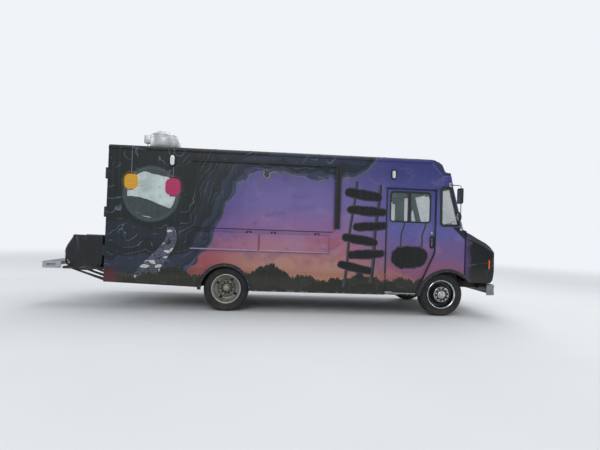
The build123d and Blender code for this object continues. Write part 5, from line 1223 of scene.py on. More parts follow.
def make_bumper():
    tip = ahead(1.020)
    edge = HALF_W - 0.008
    path = bent([(tip - 0.180, -edge, 0), (tip - 0.012, -edge, 0), (tip - 0.012, edge, 0),
                 (tip - 0.180, edge, 0)], 0.085, 10)
    low, high = BUMPER_Z
    middle = (low + high) / 2
    path = [Vector((p.x, p.y, middle)) for p in path]
    half = (high - low) / 2
    section = ((-0.008, -half + 0.004), (-0.004, -half), (0.004, -half + 0.002), (0.010, -half + 0.014),
               (0.008, -half + 0.050), (0.004, -half + 0.062), (0.004, half - 0.062), (0.008, half - 0.050),
               (0.010, half - 0.014), (0.004, half - 0.002), (-0.004, half), (-0.008, half - 0.004),
               (-0.002, half - 0.012), (0.000, half - 0.050), (-0.004, half - 0.062), (-0.004, -half + 0.062),
               (0.000, -half + 0.050), (-0.002, -half + 0.012))
    form = Form().sweep(path, section)
    for y in (-0.60, -0.439, 0.439, 0.60):
        bolt_copy = Form().lathe(((0, 0), (0.014, 0), (0.0135, 0.003), (0.009, 0.0062), (0, 0.0075)),
                                 (tip - 0.0085, y, middle), "x", 16)
        form.take(bolt_copy.made("bumper_bolt"))
    piece("front_bumper_channel", form, "bumper_alloy", "truck_body", ["front_bumper"], 30)
    form = Form()
    for side in (-1, 1):
        y0, y1 = sorted((side * 0.432, side * 0.446))
        form.bar((ahead(0.540), y0, low + 0.06), (tip - 0.018, y1, high - 0.011), 0.003)
        form.bar((tip - 0.030, y0 - 0.02, low + 0.05), (tip - 0.0165, y1 + 0.02, high - 0.02), 0.002)
    piece("bumper_brackets", form, "chassis_black")


# Seals, gaskets and trims
SOFT_STRIP = ((-1.0, 0.0), (-1.0, 0.55), (-0.72, 0.95), (-0.3, 1.0), (0.3, 1.0), (0.72, 0.95), (1.0, 0.55),
              (1.0, 0.0))


def strip(width, thick, sink=0.002):
    """A soft-edged strip's section, sunk a little into what it lies on."""
    return [(side * width / 2, lift * thick if lift else -sink) for side, lift in SOFT_STRIP]


def side_path(points, y):
    return [Vector((x, y, z)) for x, z in points]


def around(form, points, side, face, width, thick, radius=0.0):
    """A closed strip round an outline on the side of the truck. Face is the half width that it lies on."""
    path = side_path(points, side * face)
    if radius:
        path = bent(path, radius, 6, loop=True)
    return form.sweep(path, strip(width, thick), loop=True, up=(0, side, 0))


def along(form, points, side, face, width, thick, radius=0.0):
    """An open strip along a line on the side of the truck."""
    path = side_path(points, side * face)
    if radius:
        path = bent(path, radius, 6)
    return form.sweep(path, strip(width, thick), up=(0, side, 0))


DOOR_FACE = HALF_W - 0.026
DOOR_EDGE = (ahead(CAB_SEAM), ahead(-0.170))
DOOR_Z = (0.430, ROOF_Z - 0.575)
DOOR_KNEE = (ahead(-0.170), 1.178)
DOOR_FOOT = ahead(-0.500)
WINDOW = (ahead(-1.025), ahead(-0.270), 1.735, DOOR_Z[1] - 0.050)
POST_X = ahead(-0.664)
QUARTER = ((ahead(-0.078), ROOF_Z - 0.518), (ahead(0.108), ROOF_Z - 0.507), (ahead(0.287), 1.703),
           (ahead(-0.066), 1.690))


# Door lever: its middle line as (out from the door's face, height), and the profiles of its boss and its lock
LEVER_X = ahead(-0.226)
LEVER = ((-0.015, 1.458), (0.004, 1.452), (0.006, 1.380), (0.004, 1.305), (-0.012, 1.296))
LEVER_BOSS = ((0, 0), (0.013, 0), (0.013, 0.012), (0.009, 0.018), (0, 0.019))
LEVER_LOCK = ((0, 0), (0.015, 0), (0.015, 0.004), (0.011, 0.006), (0, 0.006))


def make_door_trims():
    for word, side in SIDES:
        door = "cab_door_" + word
        form = Form()
        around(form, box_outline(*WINDOW), side, DOOR_FACE, 0.030, 0.0045, 0.062)
        x0, x1, z0, z1 = WINDOW
        along(form, ((POST_X, z0 - 0.004), (POST_X, z1 + 0.004)), side, DOOR_FACE, 0.050, 0.004)
        pill = bent(side_path(box_outline(ahead(-0.262), ahead(-0.190), 1.263, 1.485), side * DOOR_FACE),
                    0.035, 6, loop=True)
        form.sweep(pill, strip(0.014, 0.005), loop=True, up=(0, side, 0))
        y0, y1 = sorted((side * (DOOR_FACE - 0.016), side * (DOOR_FACE - 0.013)))
        form.bar((ahead(-0.258), y0, 1.268), (ahead(-0.194), y1, 1.480), 0.001, 1)
        piece("door_window_gasket_" + word, form, "black_trim", door)
        form = Form()
        lever = bent([(LEVER_X, side * (DOOR_FACE + out), z) for out, z in LEVER], 0.012, 4)
        form.sweep(lever, [(a * 1.5, b * 0.7) for a, b in ring_points(0.009, 12)], up=(1, 0, 0))
        for profile, out, z in ((LEVER_BOSS, -0.018, 1.452), (LEVER_LOCK, -0.001, 1.545)):
            form.lathe([(r, side * (DOOR_FACE + out + o)) for r, o in profile], (LEVER_X, 0, z), "y", 20)
        piece("door_lever_" + word, form, "chrome", door)
        # Opening's seals, drip rail and sill, on the body
        form = Form()
        seal = ((DOOR_FOOT + 0.004, DOOR_Z[0] - 0.004), (DOOR_KNEE[0] + 0.005, DOOR_KNEE[1] - 0.002),
                (DOOR_KNEE[0] + 0.005, DOOR_Z[1] + 0.004))
        along(form, seal, side, HALF_W - 0.016, 0.030, 0.019, 0.05)
        # The upright strip at the opening's rear edge is a black seal, made wide so that it also stands in
        # for the shadow in the gap behind the recessed door: painted shade as well as a seal
        along(form, ((DOOR_EDGE[0] + 0.002, DOOR_Z[0]), (DOOR_EDGE[0] + 0.002, DOOR_Z[1] + 0.01)), side,
              HALF_W - 0.017, 0.034, 0.020)
        along(form, ((DOOR_EDGE[0], DOOR_Z[1] + 0.005), (DOOR_EDGE[1] + 0.012, DOOR_Z[1] + 0.005)), side,
              HALF_W - 0.016, 0.016, 0.018)
        around(form, QUARTER, side, HALF_W, 0.046, 0.010, 0.058)
        piece("cab_side_seals_" + word, form, "black_trim")
        form = Form()
        low = HALF_W - 0.001
        gutter = ((low, 0.0), (low + 0.020, 0.0), (low + 0.022, 0.003), (low + 0.022, 0.015),
                  (low + 0.019, 0.015), (low + 0.018, 0.005), (low + 0.003, 0.005), (low + 0.003, 0.022),
                  (low, 0.022))
        form.prism([(side * y, DOOR_Z[1] + 0.020 + z) for y, z in gutter], "x", DOOR_EDGE[0] - 0.04,
                   DOOR_EDGE[1] + 0.035)
        piece("door_drip_rail_" + word, form, "wrap_" + word)
        form = Form()
        y0, y1 = sorted((side * (HALF_W - 0.062), side * (HALF_W + 0.002)))
        form.bar((DOOR_EDGE[0] + 0.01, y0, DOOR_Z[0] - 0.022), (DOOR_FOOT - 0.02, y1, DOOR_Z[0] - 0.006),
                 0.003)
        piece("door_sill_" + word, form, "aluminium")


# Windscreen rubbers and wipers, on the sloping front
SCREEN_TOP = Vector((ahead(0.138), 0, ROOF_Z - 0.479))
SCREEN_FOOT = Vector((ahead(0.361), 0, 1.624))
SCREEN_RUN = (SCREEN_TOP - SCREEN_FOOT).normalized()
SCREEN_OUT = Vector((SCREEN_RUN.z, 0, -SCREEN_RUN.x))
SCREEN_Z = (1.672, ROOF_Z - 0.515)
SCREEN_Y = (0.036, HALF_W - 0.130)


def on_screen(y, z, lift=0.0):
    """A place on the windscreen's outer face, at a width and height."""
    share = (z - SCREEN_FOOT.z) / (SCREEN_TOP.z - SCREEN_FOOT.z)
    return SCREEN_FOOT.lerp(SCREEN_TOP, share) + Vector((0, y, 0)) + SCREEN_OUT * lift


def make_windscreen_trims():
    form = Form()
    for side in (-1, 1):
        corners = [on_screen(side * y, z) for y, z in box_outline(*SCREEN_Y, *SCREEN_Z)]
        form.sweep(bent(corners, 0.06, 6, loop=True), strip(0.040, 0.010, 0.012), loop=True, up=SCREEN_OUT)
    piece("windscreen_rubbers", form, "black_trim")
    form = Form()
    for side in (-1, 1):
        foot = on_screen(side * 0.36, 1.640, 0.002)
        knee = on_screen(side * 0.36, 1.640, 0.034)
        tip = on_screen(side * 0.62, 1.760, 0.036)
        form.tube(bent([foot, knee, tip], 0.02, 4), 0.006, 8, up=(0, 1, 0))
        form.lathe(((0, 0), (0.020, 0), (0.020, 0.012), (0.014, 0.020), (0, 0.021)), foot, "x", 18)
        blade = [on_screen(side * (0.62 + t), 1.760 + t * 0.12, 0.020) for t in (-0.24, 0.0, 0.24)]
        form.sweep(blade, ((-0.005, -0.009), (0.005, -0.009), (0.004, 0.008), (-0.004, 0.008)), up=SCREEN_OUT)
        form.sweep(blade, ((-0.0012, -0.020), (0.0012, -0.020), (0.0012, -0.008), (-0.0012, -0.008)),
                   up=SCREEN_OUT)
    piece("wipers", form, "black_trim")


# Side details: seam strips, roof rail, skirt edge, nose seams, arch flares
SKIRT_EDGE = 0.3865
SEAM_AT_CAB = -1.10
SEAM_STRIPS = {-1: (-5.98, -4.72, SEAM_AT_CAB), 1: (-5.98, -4.72, -3.50, -2.30, SEAM_AT_CAB)}
FLARE_SECTION = ((0.0, -0.001), (0.0, 0.024), (0.004, 0.029), (0.016, 0.031), (0.030, 0.026), (0.044, 0.016),
                 (0.054, 0.006), (0.058, 0.0025), (0.060, -0.001))


def arch_path(centre_x, centre_z, radius, start, end, steps=40):
    """Points of an arc in side view, turned from the forward direction."""
    turns = [math.radians(start + (end - start) * i / steps) for i in range(steps + 1)]
    return [(centre_x + radius * math.cos(t), centre_z + radius * math.sin(t)) for t in turns]


def make_flares():
    for word, side in SIDES:
        form = Form()
        for centre, height, radius, start, end in ARCHES:
            path = side_path(arch_path(ahead(centre), height, radius, start, end), side * HALF_W)
            section = [(side * -a, b) for a, b in FLARE_SECTION]
            form.sweep(path, section, up=(0, side, 0))
        piece("arch_trims_" + word, form, "black_trim", replaces=["wheel_arch_trims"])


def make_side_strips():
    for word, side in SIDES:
        form = Form()
        for x in SEAM_STRIPS[side]:
            low, width = (DOOR_Z[1] + 0.05, 0.030) if x == SEAM_AT_CAB else (0.790, 0.034)
            along(form, ((ahead(x), low), (ahead(x), ROOF_Z - 0.080)), side, HALF_W, width, 0.0016)
        y = HALF_W + 0.006
        rail = ((y - 0.001, 0.0), (y + 0.006, 0.002), (y + 0.008, 0.006), (y + 0.008, 0.030),
                (y + 0.004, 0.034), (y + 0.002, 0.050), (y - 0.001, 0.052))
        form.prism([(side * a, ROOF_Z - 0.077 + b) for a, b in rail], "x", REAR_X, ahead(-0.262))
        for start, end in ((-6.10, -4.47), (-3.545, -1.125)):
            rib = Form()
            along(rib, ((ahead(start), 0), (ahead(end), 0)), side, HALF_W, 0.011, 0.0042)
            form.row(rib, "wrap_" + word, 6, (0, 0, 0.667), (0, 0, 0.0212))
        for start, end in ((-6.10, -4.66 if side == KERB else -1.125), (-1.955, -1.125)):
            along(form, ((ahead(start), 1.262), (ahead(end), 1.262)), side, HALF_W, 0.012, 0.0045)
        piece("side_seam_strips_" + word, form, "wrap_" + word)
        form = Form()
        along(form, ((ahead(ARCHES[0][0] + 0.49), SKIRT_EDGE), (ahead(CAB_SEAM), SKIRT_EDGE)), side,
              HALF_W - 0.002, 0.012, 0.006)
        along(form, ((ahead(0.399), 0.80), (ahead(0.399), 1.607)), side, HALF_W - 0.003, 0.011, 0.005)
        piece("skirt_edges_" + word, form, "black_trim")


# Serving hatch and shelves, kerb side only
HATCH = (ahead(-4.620), ahead(-2.096), 1.500, ROOF_Z - 0.260)
HATCH_FACE = HALF_W + 0.013
SHELVES = (("shelf_rear", -4.649, -3.443), ("shelf_front", -3.403, -2.168))
SHELF_FACE = HALF_W + 0.036
SHELF_Z = (1.110, 1.424)


def make_hatch_trims():
    x0, x1, z0, z1 = HATCH
    form = Form()
    along(form, ((x0, z0 + 0.006), (x1, z0 + 0.006)), KERB, HATCH_FACE, 0.014, 0.004)
    for x in (x0 + 0.007, x1 - 0.007):
        along(form, ((x, z0), (x, z1)), KERB, HATCH_FACE, 0.014, 0.003)
    piece("hatch_edge_trims", form, "wrap_right", "serving_hatch")
    form = Form()
    form.bar((x0 - 0.004, -HATCH_FACE + 0.001, z0 - 0.013), (x1 + 0.002, -HALF_W - 0.001, z0 - 0.0005), 0.003)
    piece("hatch_edge_rubber", form, "black_trim", "serving_hatch")
    # Inside of the hatch: a lined frame with ribs
    form = Form()
    inner = HALF_W - 0.044
    frame_x = (x0 + 0.040, x1 - 0.040)
    rib = Form().bar((-0.018, -inner - 0.004, z0 + 0.050), (0.018, -inner + 0.010, z1 - 0.040), 0.004)
    form.row(rib, "liner_steel", 6, (frame_x[0] + 0.02, 0, 0), ((frame_x[1] - frame_x[0] - 0.04) / 5, 0, 0))
    for z in (z0 + 0.052, z1 - 0.042):
        form.bar((frame_x[0], -inner - 0.004, z - 0.012), (frame_x[1], -inner + 0.008, z + 0.012), 0.004)
    piece("hatch_inner_ribs", form, "liner_steel", "serving_hatch")
    # Seal on the wall round the opening
    form = Form()
    around(form, box_outline(x0 + 0.020, x1 - 0.020, z0 + 0.020, z1 - 0.008), KERB, HALF_W - 0.006, 0.016,
           0.0058)
    piece("hatch_opening_seal", form, "black_trim")
    for name, start, end in SHELVES:
        s0, s1 = ahead(start), ahead(end)
        form = Form()
        z_low, z_high = SHELF_Z
        for z in (z_low + 0.005, z_low + 0.016):
            along(form, ((s0 + 0.002, z), (s1 - 0.002, z)), KERB, SHELF_FACE, 0.007, 0.0022)
        form.bar((s0 - 0.002, -SHELF_FACE - 0.003, z_low - 0.0015),
                 (s1 + 0.002, -SHELF_FACE + 0.020, z_low + 0.001), 0.0006, 1)
        piece(name + "_edging", form, "lilac_edge", name)
        form = Form()
        for x in (s0 + 0.18, (s0 + s1) / 2, s1 - 0.18):
            form.bar((x - 0.015, -SHELF_FACE + 0.0195, z_low + 0.03),
                     (x + 0.015, -SHELF_FACE + 0.026, z_high - 0.04), 0.002)
        piece(name + "_battens", form, "aluminium", name)


# Rivets, stood up by their own facing on the points of a mesh
RIVET = ((0.0, -0.0015), (0.0052, -0.0015), (0.005, 0.0004), (0.0036, 0.0016), (0.0, 0.0021))


# Level rows on both sides: start and end ahead of the front axle, height, pitch
RIVET_LINES = ((-6.10, -1.12, ROOF_Z - 0.096, 0.052), (-1.08, -0.30, ROOF_Z - 0.096, 0.052),
               (-3.50, -1.13, 0.412, 0.075), (-6.10, -4.52, 0.640, 0.075), (-3.50, -1.13, 0.640, 0.075),
               (-6.10, -4.45, 0.790, 0.075), (-3.56, -1.13, 0.790, 0.075))


def rivet_rows(name, rows, finish, body="truck_body", size=1.0):
    """Rivets along straight rows of (start, end, pitch, facing)."""
    points = []
    facings = []
    for start, end, pitch, facing in rows:
        start, end = Vector(start), Vector(end)
        count = max(1, round((end - start).length / pitch))
        for i in range(count + 1):
            points.append(start.lerp(end, i / count))
            facings.append(Vector(facing).normalized())
    mesh = bpy.data.meshes.new(name + "_points")
    mesh.from_pydata(points, [], [])
    facing_data = mesh.attributes.new("facing", "FLOAT_VECTOR", "POINT")
    facing_data.data.foreach_set("vector", [share for facing in facings for share in facing])
    head = Form().lathe(RIVET, (0, 0, 0), "z", 8)
    form = Form().take(facing_out.run(head, finish, points=mesh, Size=size))
    return piece(name, form, finish, body, (), 50)


def make_rivets():
    for word, side in SIDES:
        y = side * HALF_W
        out = (0, side, 0)
        rows = [((ahead(start), y, z), (ahead(end), y, z), pitch, out)
                for start, end, z, pitch in RIVET_LINES]
        for x in SEAM_STRIPS[side]:
            low = DOOR_Z[1] + 0.07 if x == SEAM_AT_CAB else 0.81
            for shift in (-0.009, 0.009):
                rows.append(((ahead(x) + shift, y + side * 0.0014, low),
                             (ahead(x) + shift, y + side * 0.0014, ROOF_Z - 0.11), 0.048, out))
        rivet_rows("side_rivets_" + word, rows, "wrap_" + word)
        arcs = []
        for (centre, height, radius, *_), (start, end) in zip(ARCHES, ((8, 172), (44, 164))):
            for x, z in arch_path(ahead(centre), height, radius + 0.020, start, end, 10):
                spot = (x, side * (HALF_W + 0.0305), z)
                arcs.append((spot, spot, 1.0, out))
        rivet_rows("arch_screws_" + word, arcs, "aluminium", size=1.2)
    x0, x1, z0, z1 = HATCH[0] + 0.030, HATCH[1] - 0.030, HATCH[2], HATCH[3]
    lines = ((x0, z0 + 0.030, x1, z0 + 0.030), (x0, z1 - 0.045, x1, z1 - 0.045),
             (x0, z0 + 0.08, x0, z1 - 0.08), (x1, z0 + 0.08, x1, z1 - 0.08))
    rows = [((xa, -HATCH_FACE, za), (xb, -HATCH_FACE, zb), 0.075, (0, -1, 0)) for xa, za, xb, zb in lines]
    rivet_rows("hatch_rivets", rows, "wrap_right", "serving_hatch", 0.8)


# Soft goods: a fitted cover on the generator and the driver's seat, settled by short simulations
def soft_box(low, high, radius, pitch, open_below=False):
    """A box of small squares with its corners rounded, open below if asked."""
    low, high = Vector(low), Vector(high)
    mesh = bmesh.new()
    size = high - low
    counts = [max(2, round(length / pitch)) for length in size]
    bmesh.ops.create_cube(mesh, size=1.0)
    for axis in range(3):
        edges = [e for e in mesh.edges if abs((e.verts[0].co - e.verts[1].co)[axis]) > 0.5]
        bmesh.ops.subdivide_edges(mesh, edges=edges, cuts=counts[axis] - 1, use_grid_fill=True)
    middle = (low + high) / 2
    half = size / 2
    for vert in mesh.verts:
        spot = Vector(vert.co[i] * size[i] for i in range(3))
        core = Vector(max(-half[i] + radius, min(half[i] - radius, spot[i])) for i in range(3))
        if open_below and spot.z < 0:
            core.z = spot.z
        out = spot - core
        vert.co = middle + core + (
            out.normalized() * min(radius, out.length) if out.length > 1e-9 else Vector())
    if open_below:
        floor = [f for f in mesh.faces if all(v.co.z < low.z + 1e-5 for v in f.verts)]
        bmesh.ops.delete(mesh, geom=floor, context="FACES")
    bmesh.ops.recalc_face_normals(mesh, faces=mesh.faces)
    return mesh


def settle(shown, frames, caps, **settings):
    """Runs Cloth on an object and keeps the result, with each point's move held under its cap."""
    start = [v.co.copy() for v in shown.data.vertices]
    step = shown.modifiers.new("cloth", "CLOTH")
    for key, setting in settings.items():
        setattr(step.settings, key, setting)
    if settings.get("use_pressure"):
        step.settings.effector_weights.gravity = 0
    step.point_cache.frame_start = 1
    step.point_cache.frame_end = frames
    for frame_number in range(1, frames + 1):
        bpy.context.scene.frame_set(frame_number)
    settled = plain_copy(shown)
    shown.modifiers.clear()
    bpy.context.scene.frame_set(1)
    for i, vert in enumerate(shown.data.vertices):
        move = settled.vertices[i].co - start[i]
        cap = caps(start[i])
        vert.co = start[i] + (move if move.length <= cap else move.normalized() * cap)
    bpy.data.meshes.remove(settled)


def weave_map(mesh):
    """A UV map in metres, laid on by the direction that each face looks in."""
    layer = mesh.uv_layers.new(name="weave")
    for face in mesh.polygons:
        axis = max(range(3), key=lambda i: abs(face.normal[i]))
        across = [i for i in range(3) if i != axis]
        for corner in face.loop_indices:
            spot = mesh.vertices[mesh.loops[corner].vertex_index].co
            layer.data[corner].uv = (spot[across[0]], spot[across[1]])


def soft_piece(name, shown, finish, body="truck_body", replaces=()):
    """Finishes a settled soft form: one subdivision, its weave map and its finish."""
    step = shown.modifiers.new("smooth", "SUBSURF")
    step.levels = 1
    step.render_levels = 1
    old = shown.data
    shown.data = plain_copy(shown)
    shown.modifiers.clear()
    bpy.data.meshes.remove(old)
    shown.data.shade_smooth()
    weave_map(shown.data)
    return dressed(shown, finish, body, replaces)


COVER_LOW = Vector((ahead(-6.905), -1.052, 0.668))
COVER_HIGH = Vector((ahead(-6.165), -0.388, 1.312))


def make_cover():
    mesh = soft_box(COVER_LOW, COVER_HIGH, 0.095, 0.026, open_below=True)
    tall = COVER_HIGH.z - COVER_LOW.z
    middle = (COVER_LOW + COVER_HIGH) / 2
    half = (COVER_HIGH - COVER_LOW) / 2
    for vert in mesh.verts:
        share = (vert.co.z - COVER_LOW.z) / tall
        across = abs(vert.co.x - middle.x) / half.x
        deep = abs(vert.co.y - middle.y) / half.y
        out = Vector((vert.co.x - middle.x, vert.co.y - middle.y, 0)).normalized()
        kerb = max(0.0, min(1.0, (-out.y - 0.45) * 2.6))
        run = vert.co.x + vert.co.y
        gather = (1 - share) ** 3
        tailward = max(0.0, (middle.x - vert.co.x) / half.x)
        lean = (0.175 * max(0.0, (share - 0.41) / 0.59) ** 1.8
                - 0.028 * math.sin(math.pi * min(1.0, share / 0.82)))
        vert.co.x += (lean + 0.055 * gather) * tailward ** 2
        fold = noise.noise(Vector((run * 8.0, share * 1.8, 3.0))) * 0.020 * (0.45 + gather)
        fold += math.sin(run * 58.0 + noise.noise(Vector((run * 5.0, 0, 1.0))) * 4.0) * 0.007 * gather
        if share < 0.97:
            # Ends are drawn in at the hem. The kerb side hangs over the rack's bar, its corners rounded up.
            vert.co += out * (fold * (1 - 0.7 * kerb * gather) + 0.008 * math.sin(math.pi * share))
            vert.co.x -= (math.copysign(0.075, out.x) * gather * min(1.0, across * 1.3)
                          * (1 if across > 0.5 else 0))
            vert.co.z += gather * ((1 - kerb) * 0.060 + kerb * 0.12 * across ** 5)
        else:
            # Top panel: low in the middle, with peaks over the frame's corners
            vert.co.z -= 0.024 * (1 - across ** 2.2) * (1 - deep ** 3)
            vert.co.z += noise.noise(vert.co * 7.0) * 0.006
    shown = show("generator_cover", bpy.data.meshes.new("generator_cover"))
    mesh.to_mesh(shown.data)
    mesh.free()
    held = shown.vertex_groups.new(name="held")
    for vert in shown.data.vertices:
        at_hem = vert.co.z < COVER_LOW.z + 0.02
        at_hoop = (vert.co.z > COVER_HIGH.z - 0.035
                   and min(abs(vert.co.y - COVER_LOW.y), abs(vert.co.y - COVER_HIGH.y)) < 0.07)
        if at_hem or at_hoop:
            held.add([vert.index], 1.0 if at_hem else 0.85, "REPLACE")
    settle(shown, 22, lambda spot: 0.045 if spot.z > COVER_HIGH.z - 0.05 else 0.026,
           vertex_group_mass="held", quality=6, mass=0.25, tension_stiffness=12, compression_stiffness=10,
           shear_stiffness=4, bending_stiffness=0.4)
    soft_piece("generator_cover", shown, "cover_cloth", "truck_body", ["covered_generator"])
    hem = Form()
    rim = soft_hem(shown.data)
    hem.tube(rim, 0.006, 8, loop=True)
    cord = piece("cover_hem", hem, "black_trim")
    wide, deep = COVER_HIGH.x - COVER_LOW.x, COVER_HIGH.y - COVER_LOW.y
    tall = COVER_HIGH.z - COVER_LOW.z


def soft_hem(mesh):
    """The points of a cloth's lowest open edge, in order round it."""
    edges = {}
    for face in mesh.polygons:
        for key in face.edge_keys:
            edges[key] = edges.get(key, 0) + 1
    links = {}
    for (a, b), count in edges.items():
        if count == 1:
            links.setdefault(a, []).append(b)
            links.setdefault(b, []).append(a)
    start = min(links)
    line = [start]
    before = None
    while True:
        after = [n for n in links[line[-1]] if n != before]
        before = line[-1]
        if not after or after[0] == start:
            break
        line.append(after[0])
    return [mesh.vertices[i].co.copy() for i in line]


# Driver's seat: two padded forms on a pedestal with a slide
SEAT_Y = HALF_W - 0.560


def stuffed(name, low, high, radius, lean=0.0, pivot=None):
    """A pad that swells under pressure, leaned back about a pivot if asked."""
    mesh = soft_box(low, high, radius, 0.030)
    middle = (Vector(low) + Vector(high)) / 2
    half = (Vector(high) - Vector(low)) / 2
    for vert in mesh.verts:
        away = vert.co - middle
        pull = 1 - 0.045 * (1 - (away.x / half.x) ** 2 if abs(away.y) > half.y * 0.9 else 0.0)
        vert.co.y = middle.y + away.y * pull
        if pivot is not None and away.x > 0:
            # Bolsters stand forward at the back's sides
            vert.co.x += (0.085 * max(0.0, (abs(away.y) / half.y - 0.45) / 0.55) ** 1.5
                          * min(1.0, away.x / half.x))
    if pivot is not None:
        bmesh.ops.rotate(mesh, verts=mesh.verts, cent=pivot, matrix=Matrix.Rotation(lean, 3, "Y"))
    shown = show(name, bpy.data.meshes.new(name))
    mesh.to_mesh(shown.data)
    mesh.free()
    settle(shown, 16, lambda spot: 0.014, use_pressure=True, uniform_pressure_force=4.0, quality=5,
           tension_stiffness=14, compression_stiffness=14, bending_stiffness=1.5)
    return shown


def make_seat():
    x0, x1 = ahead(-0.955), ahead(-0.485)
    pivot = (ahead(-0.905), SEAT_Y, 1.255)
    cushion = stuffed("seat_cushion", (x0, SEAT_Y - 0.238, 1.128), (x1, SEAT_Y + 0.238, 1.240), 0.045)
    soft_piece("seat_cushion", cushion, "seat_vinyl", "truck_body", ["driver_seat"])
    back = stuffed("seat_back", (ahead(-0.950), SEAT_Y - 0.218, 1.262),
                   (ahead(-0.862), SEAT_Y + 0.218, 1.950), 0.040, -0.165, pivot)
    soft_piece("seat_back", back, "seat_vinyl")
    form = Form()
    form.bar((x0 + 0.02, SEAT_Y - 0.215, 1.108), (x1 - 0.02, SEAT_Y + 0.215, 1.132), 0.008)
    for y in (-0.13, 0.13):
        form.bar((x0 + 0.04, SEAT_Y + y - 0.015, 1.080), (x1 - 0.05, SEAT_Y + y + 0.015, 1.110), 0.004)
    form.bar((ahead(-0.860), SEAT_Y - 0.120, 0.801), (ahead(-0.580), SEAT_Y + 0.120, 0.815), 0.003)
    form.bar((ahead(-0.820), SEAT_Y - 0.095, 0.812), (ahead(-0.620), SEAT_Y + 0.095, 1.085), 0.020, 3)
    for y in (-0.20, 0.20):
        bracket = [(ahead(-0.890), SEAT_Y + y, 1.120), (ahead(-0.912), SEAT_Y + y, 1.260),
                   (ahead(-0.955), SEAT_Y + y, 1.50)]
        form.tube(bent(bracket, 0.05, 5), 0.012, 10, up=(0, 1, 0))
    form.tube(bent([(ahead(-0.60), SEAT_Y - 0.10, 1.095), (ahead(-0.60), SEAT_Y - 0.245, 1.095),
                    (ahead(-0.55), SEAT_Y - 0.255, 1.110)], 0.02, 4), 0.007, 8)
    piece("seat_pedestal", form, "black_trim")


# Marker, tail and side lamps
MARKER_X = ahead(0.874)
MARKER_Z = (0.912, 1.082)
ROOF_MARKERS = (-HALF_W + 0.270, -0.260, 0.0, 0.260, HALF_W - 0.270)
MARKER_DOME = ((0, 0.006), (0.021, 0.006), (0.0225, 0.010), (0.021, 0.020), (0.015, 0.0285), (0.007, 0.032),
               (0, 0.0325))
TAIL_LENS = ((0, -0.004), (0.036, -0.004), (0.036, -0.010), (0.032, -0.014), (0.028, -0.0135),
             (0.024, -0.0155), (0.020, -0.0145), (0.016, -0.0165), (0.011, -0.0155), (0.006, -0.0172),
             (0, -0.0172))
TAIL_BEZEL = ((0.034, 0.001), (0.0455, 0.001), (0.0455, -0.006), (0.042, -0.0125), (0.037, -0.0135),
              (0.034, -0.011))


def make_small_lamps():
    lens = Form()
    base = Form()
    for side in (-1, 1):
        y0, y1 = sorted((side * (HALF_W - 0.001), side * (HALF_W + 0.005)))
        base.bar((MARKER_X - 0.0155, y0, MARKER_Z[0]), (MARKER_X + 0.0155, y1, MARKER_Z[1]), 0.004, 3)
        y0, y1 = sorted((side * (HALF_W + 0.003), side * (HALF_W + 0.0125)))
        lens.bar((MARKER_X - 0.0135, y0, MARKER_Z[0] + 0.004), (MARKER_X + 0.0135, y1, MARKER_Z[1] - 0.004),
                 0.005, 3)
        rib = Form().bar((-0.011, side * (HALF_W + 0.0125) - 0.0012, -0.002),
                         (0.011, side * (HALF_W + 0.0125) + 0.0012, 0.002), 0.001, 1)
        lens.row(rib, "lens_amber", 13, (MARKER_X, 0, MARKER_Z[0] + 0.014), (0, 0, 0.0118))
    for y in ROOF_MARKERS:
        foot = Vector((ahead(0.050), y, ROOF_Z - 0.2375))
        base.bar((foot.x - 0.027, y - 0.058, foot.z - 0.001), (foot.x + 0.027, y + 0.058, foot.z + 0.007),
                 0.003)
        for shift in (-0.024, 0.024):
            lens.lathe(MARKER_DOME, foot + Vector((0, shift, 0)), "z", 20)
        lens.bar((foot.x - 0.020, y - 0.024, foot.z + 0.006), (foot.x + 0.020, y + 0.024, foot.z + 0.026),
                 0.008, 3)
    low = ahead(-2.062)
    base.bar((low - 0.024, -HALF_W - 0.006, 1.506), (low + 0.024, -HALF_W + 0.001, 1.538), 0.003)
    lens.bar((low - 0.020, -HALF_W - 0.016, 1.510), (low + 0.020, -HALF_W - 0.004, 1.534), 0.005, 3)
    piece("marker_lenses", lens, "lens_amber", "truck_body", ["marker_lamps"], 30)
    piece("marker_bases", base, "black_trim")
    tail = Form()
    bezel = Form()
    for side in (-1, 1):
        for z in (0.640, 0.770, ROOF_Z - 0.175):
            centre = (REAR_X, side * (HALF_W - 0.072), z)
            tail.lathe(TAIL_LENS, centre, "x", 36)
            bezel.lathe(TAIL_BEZEL, centre, "x", 36, ring=True)
    piece("tail_lamp_lenses", tail, "lens_red", "truck_body", ["tail_lamps"], 30)
    piece("tail_lamp_bezels", bezel, "chrome", crease=40)


# Grille: a rounded frame round a row of folded slats, with three upright stays behind
GRILLE_Y = HALF_W - 0.610
GRILLE_Z = (0.820, 1.200)


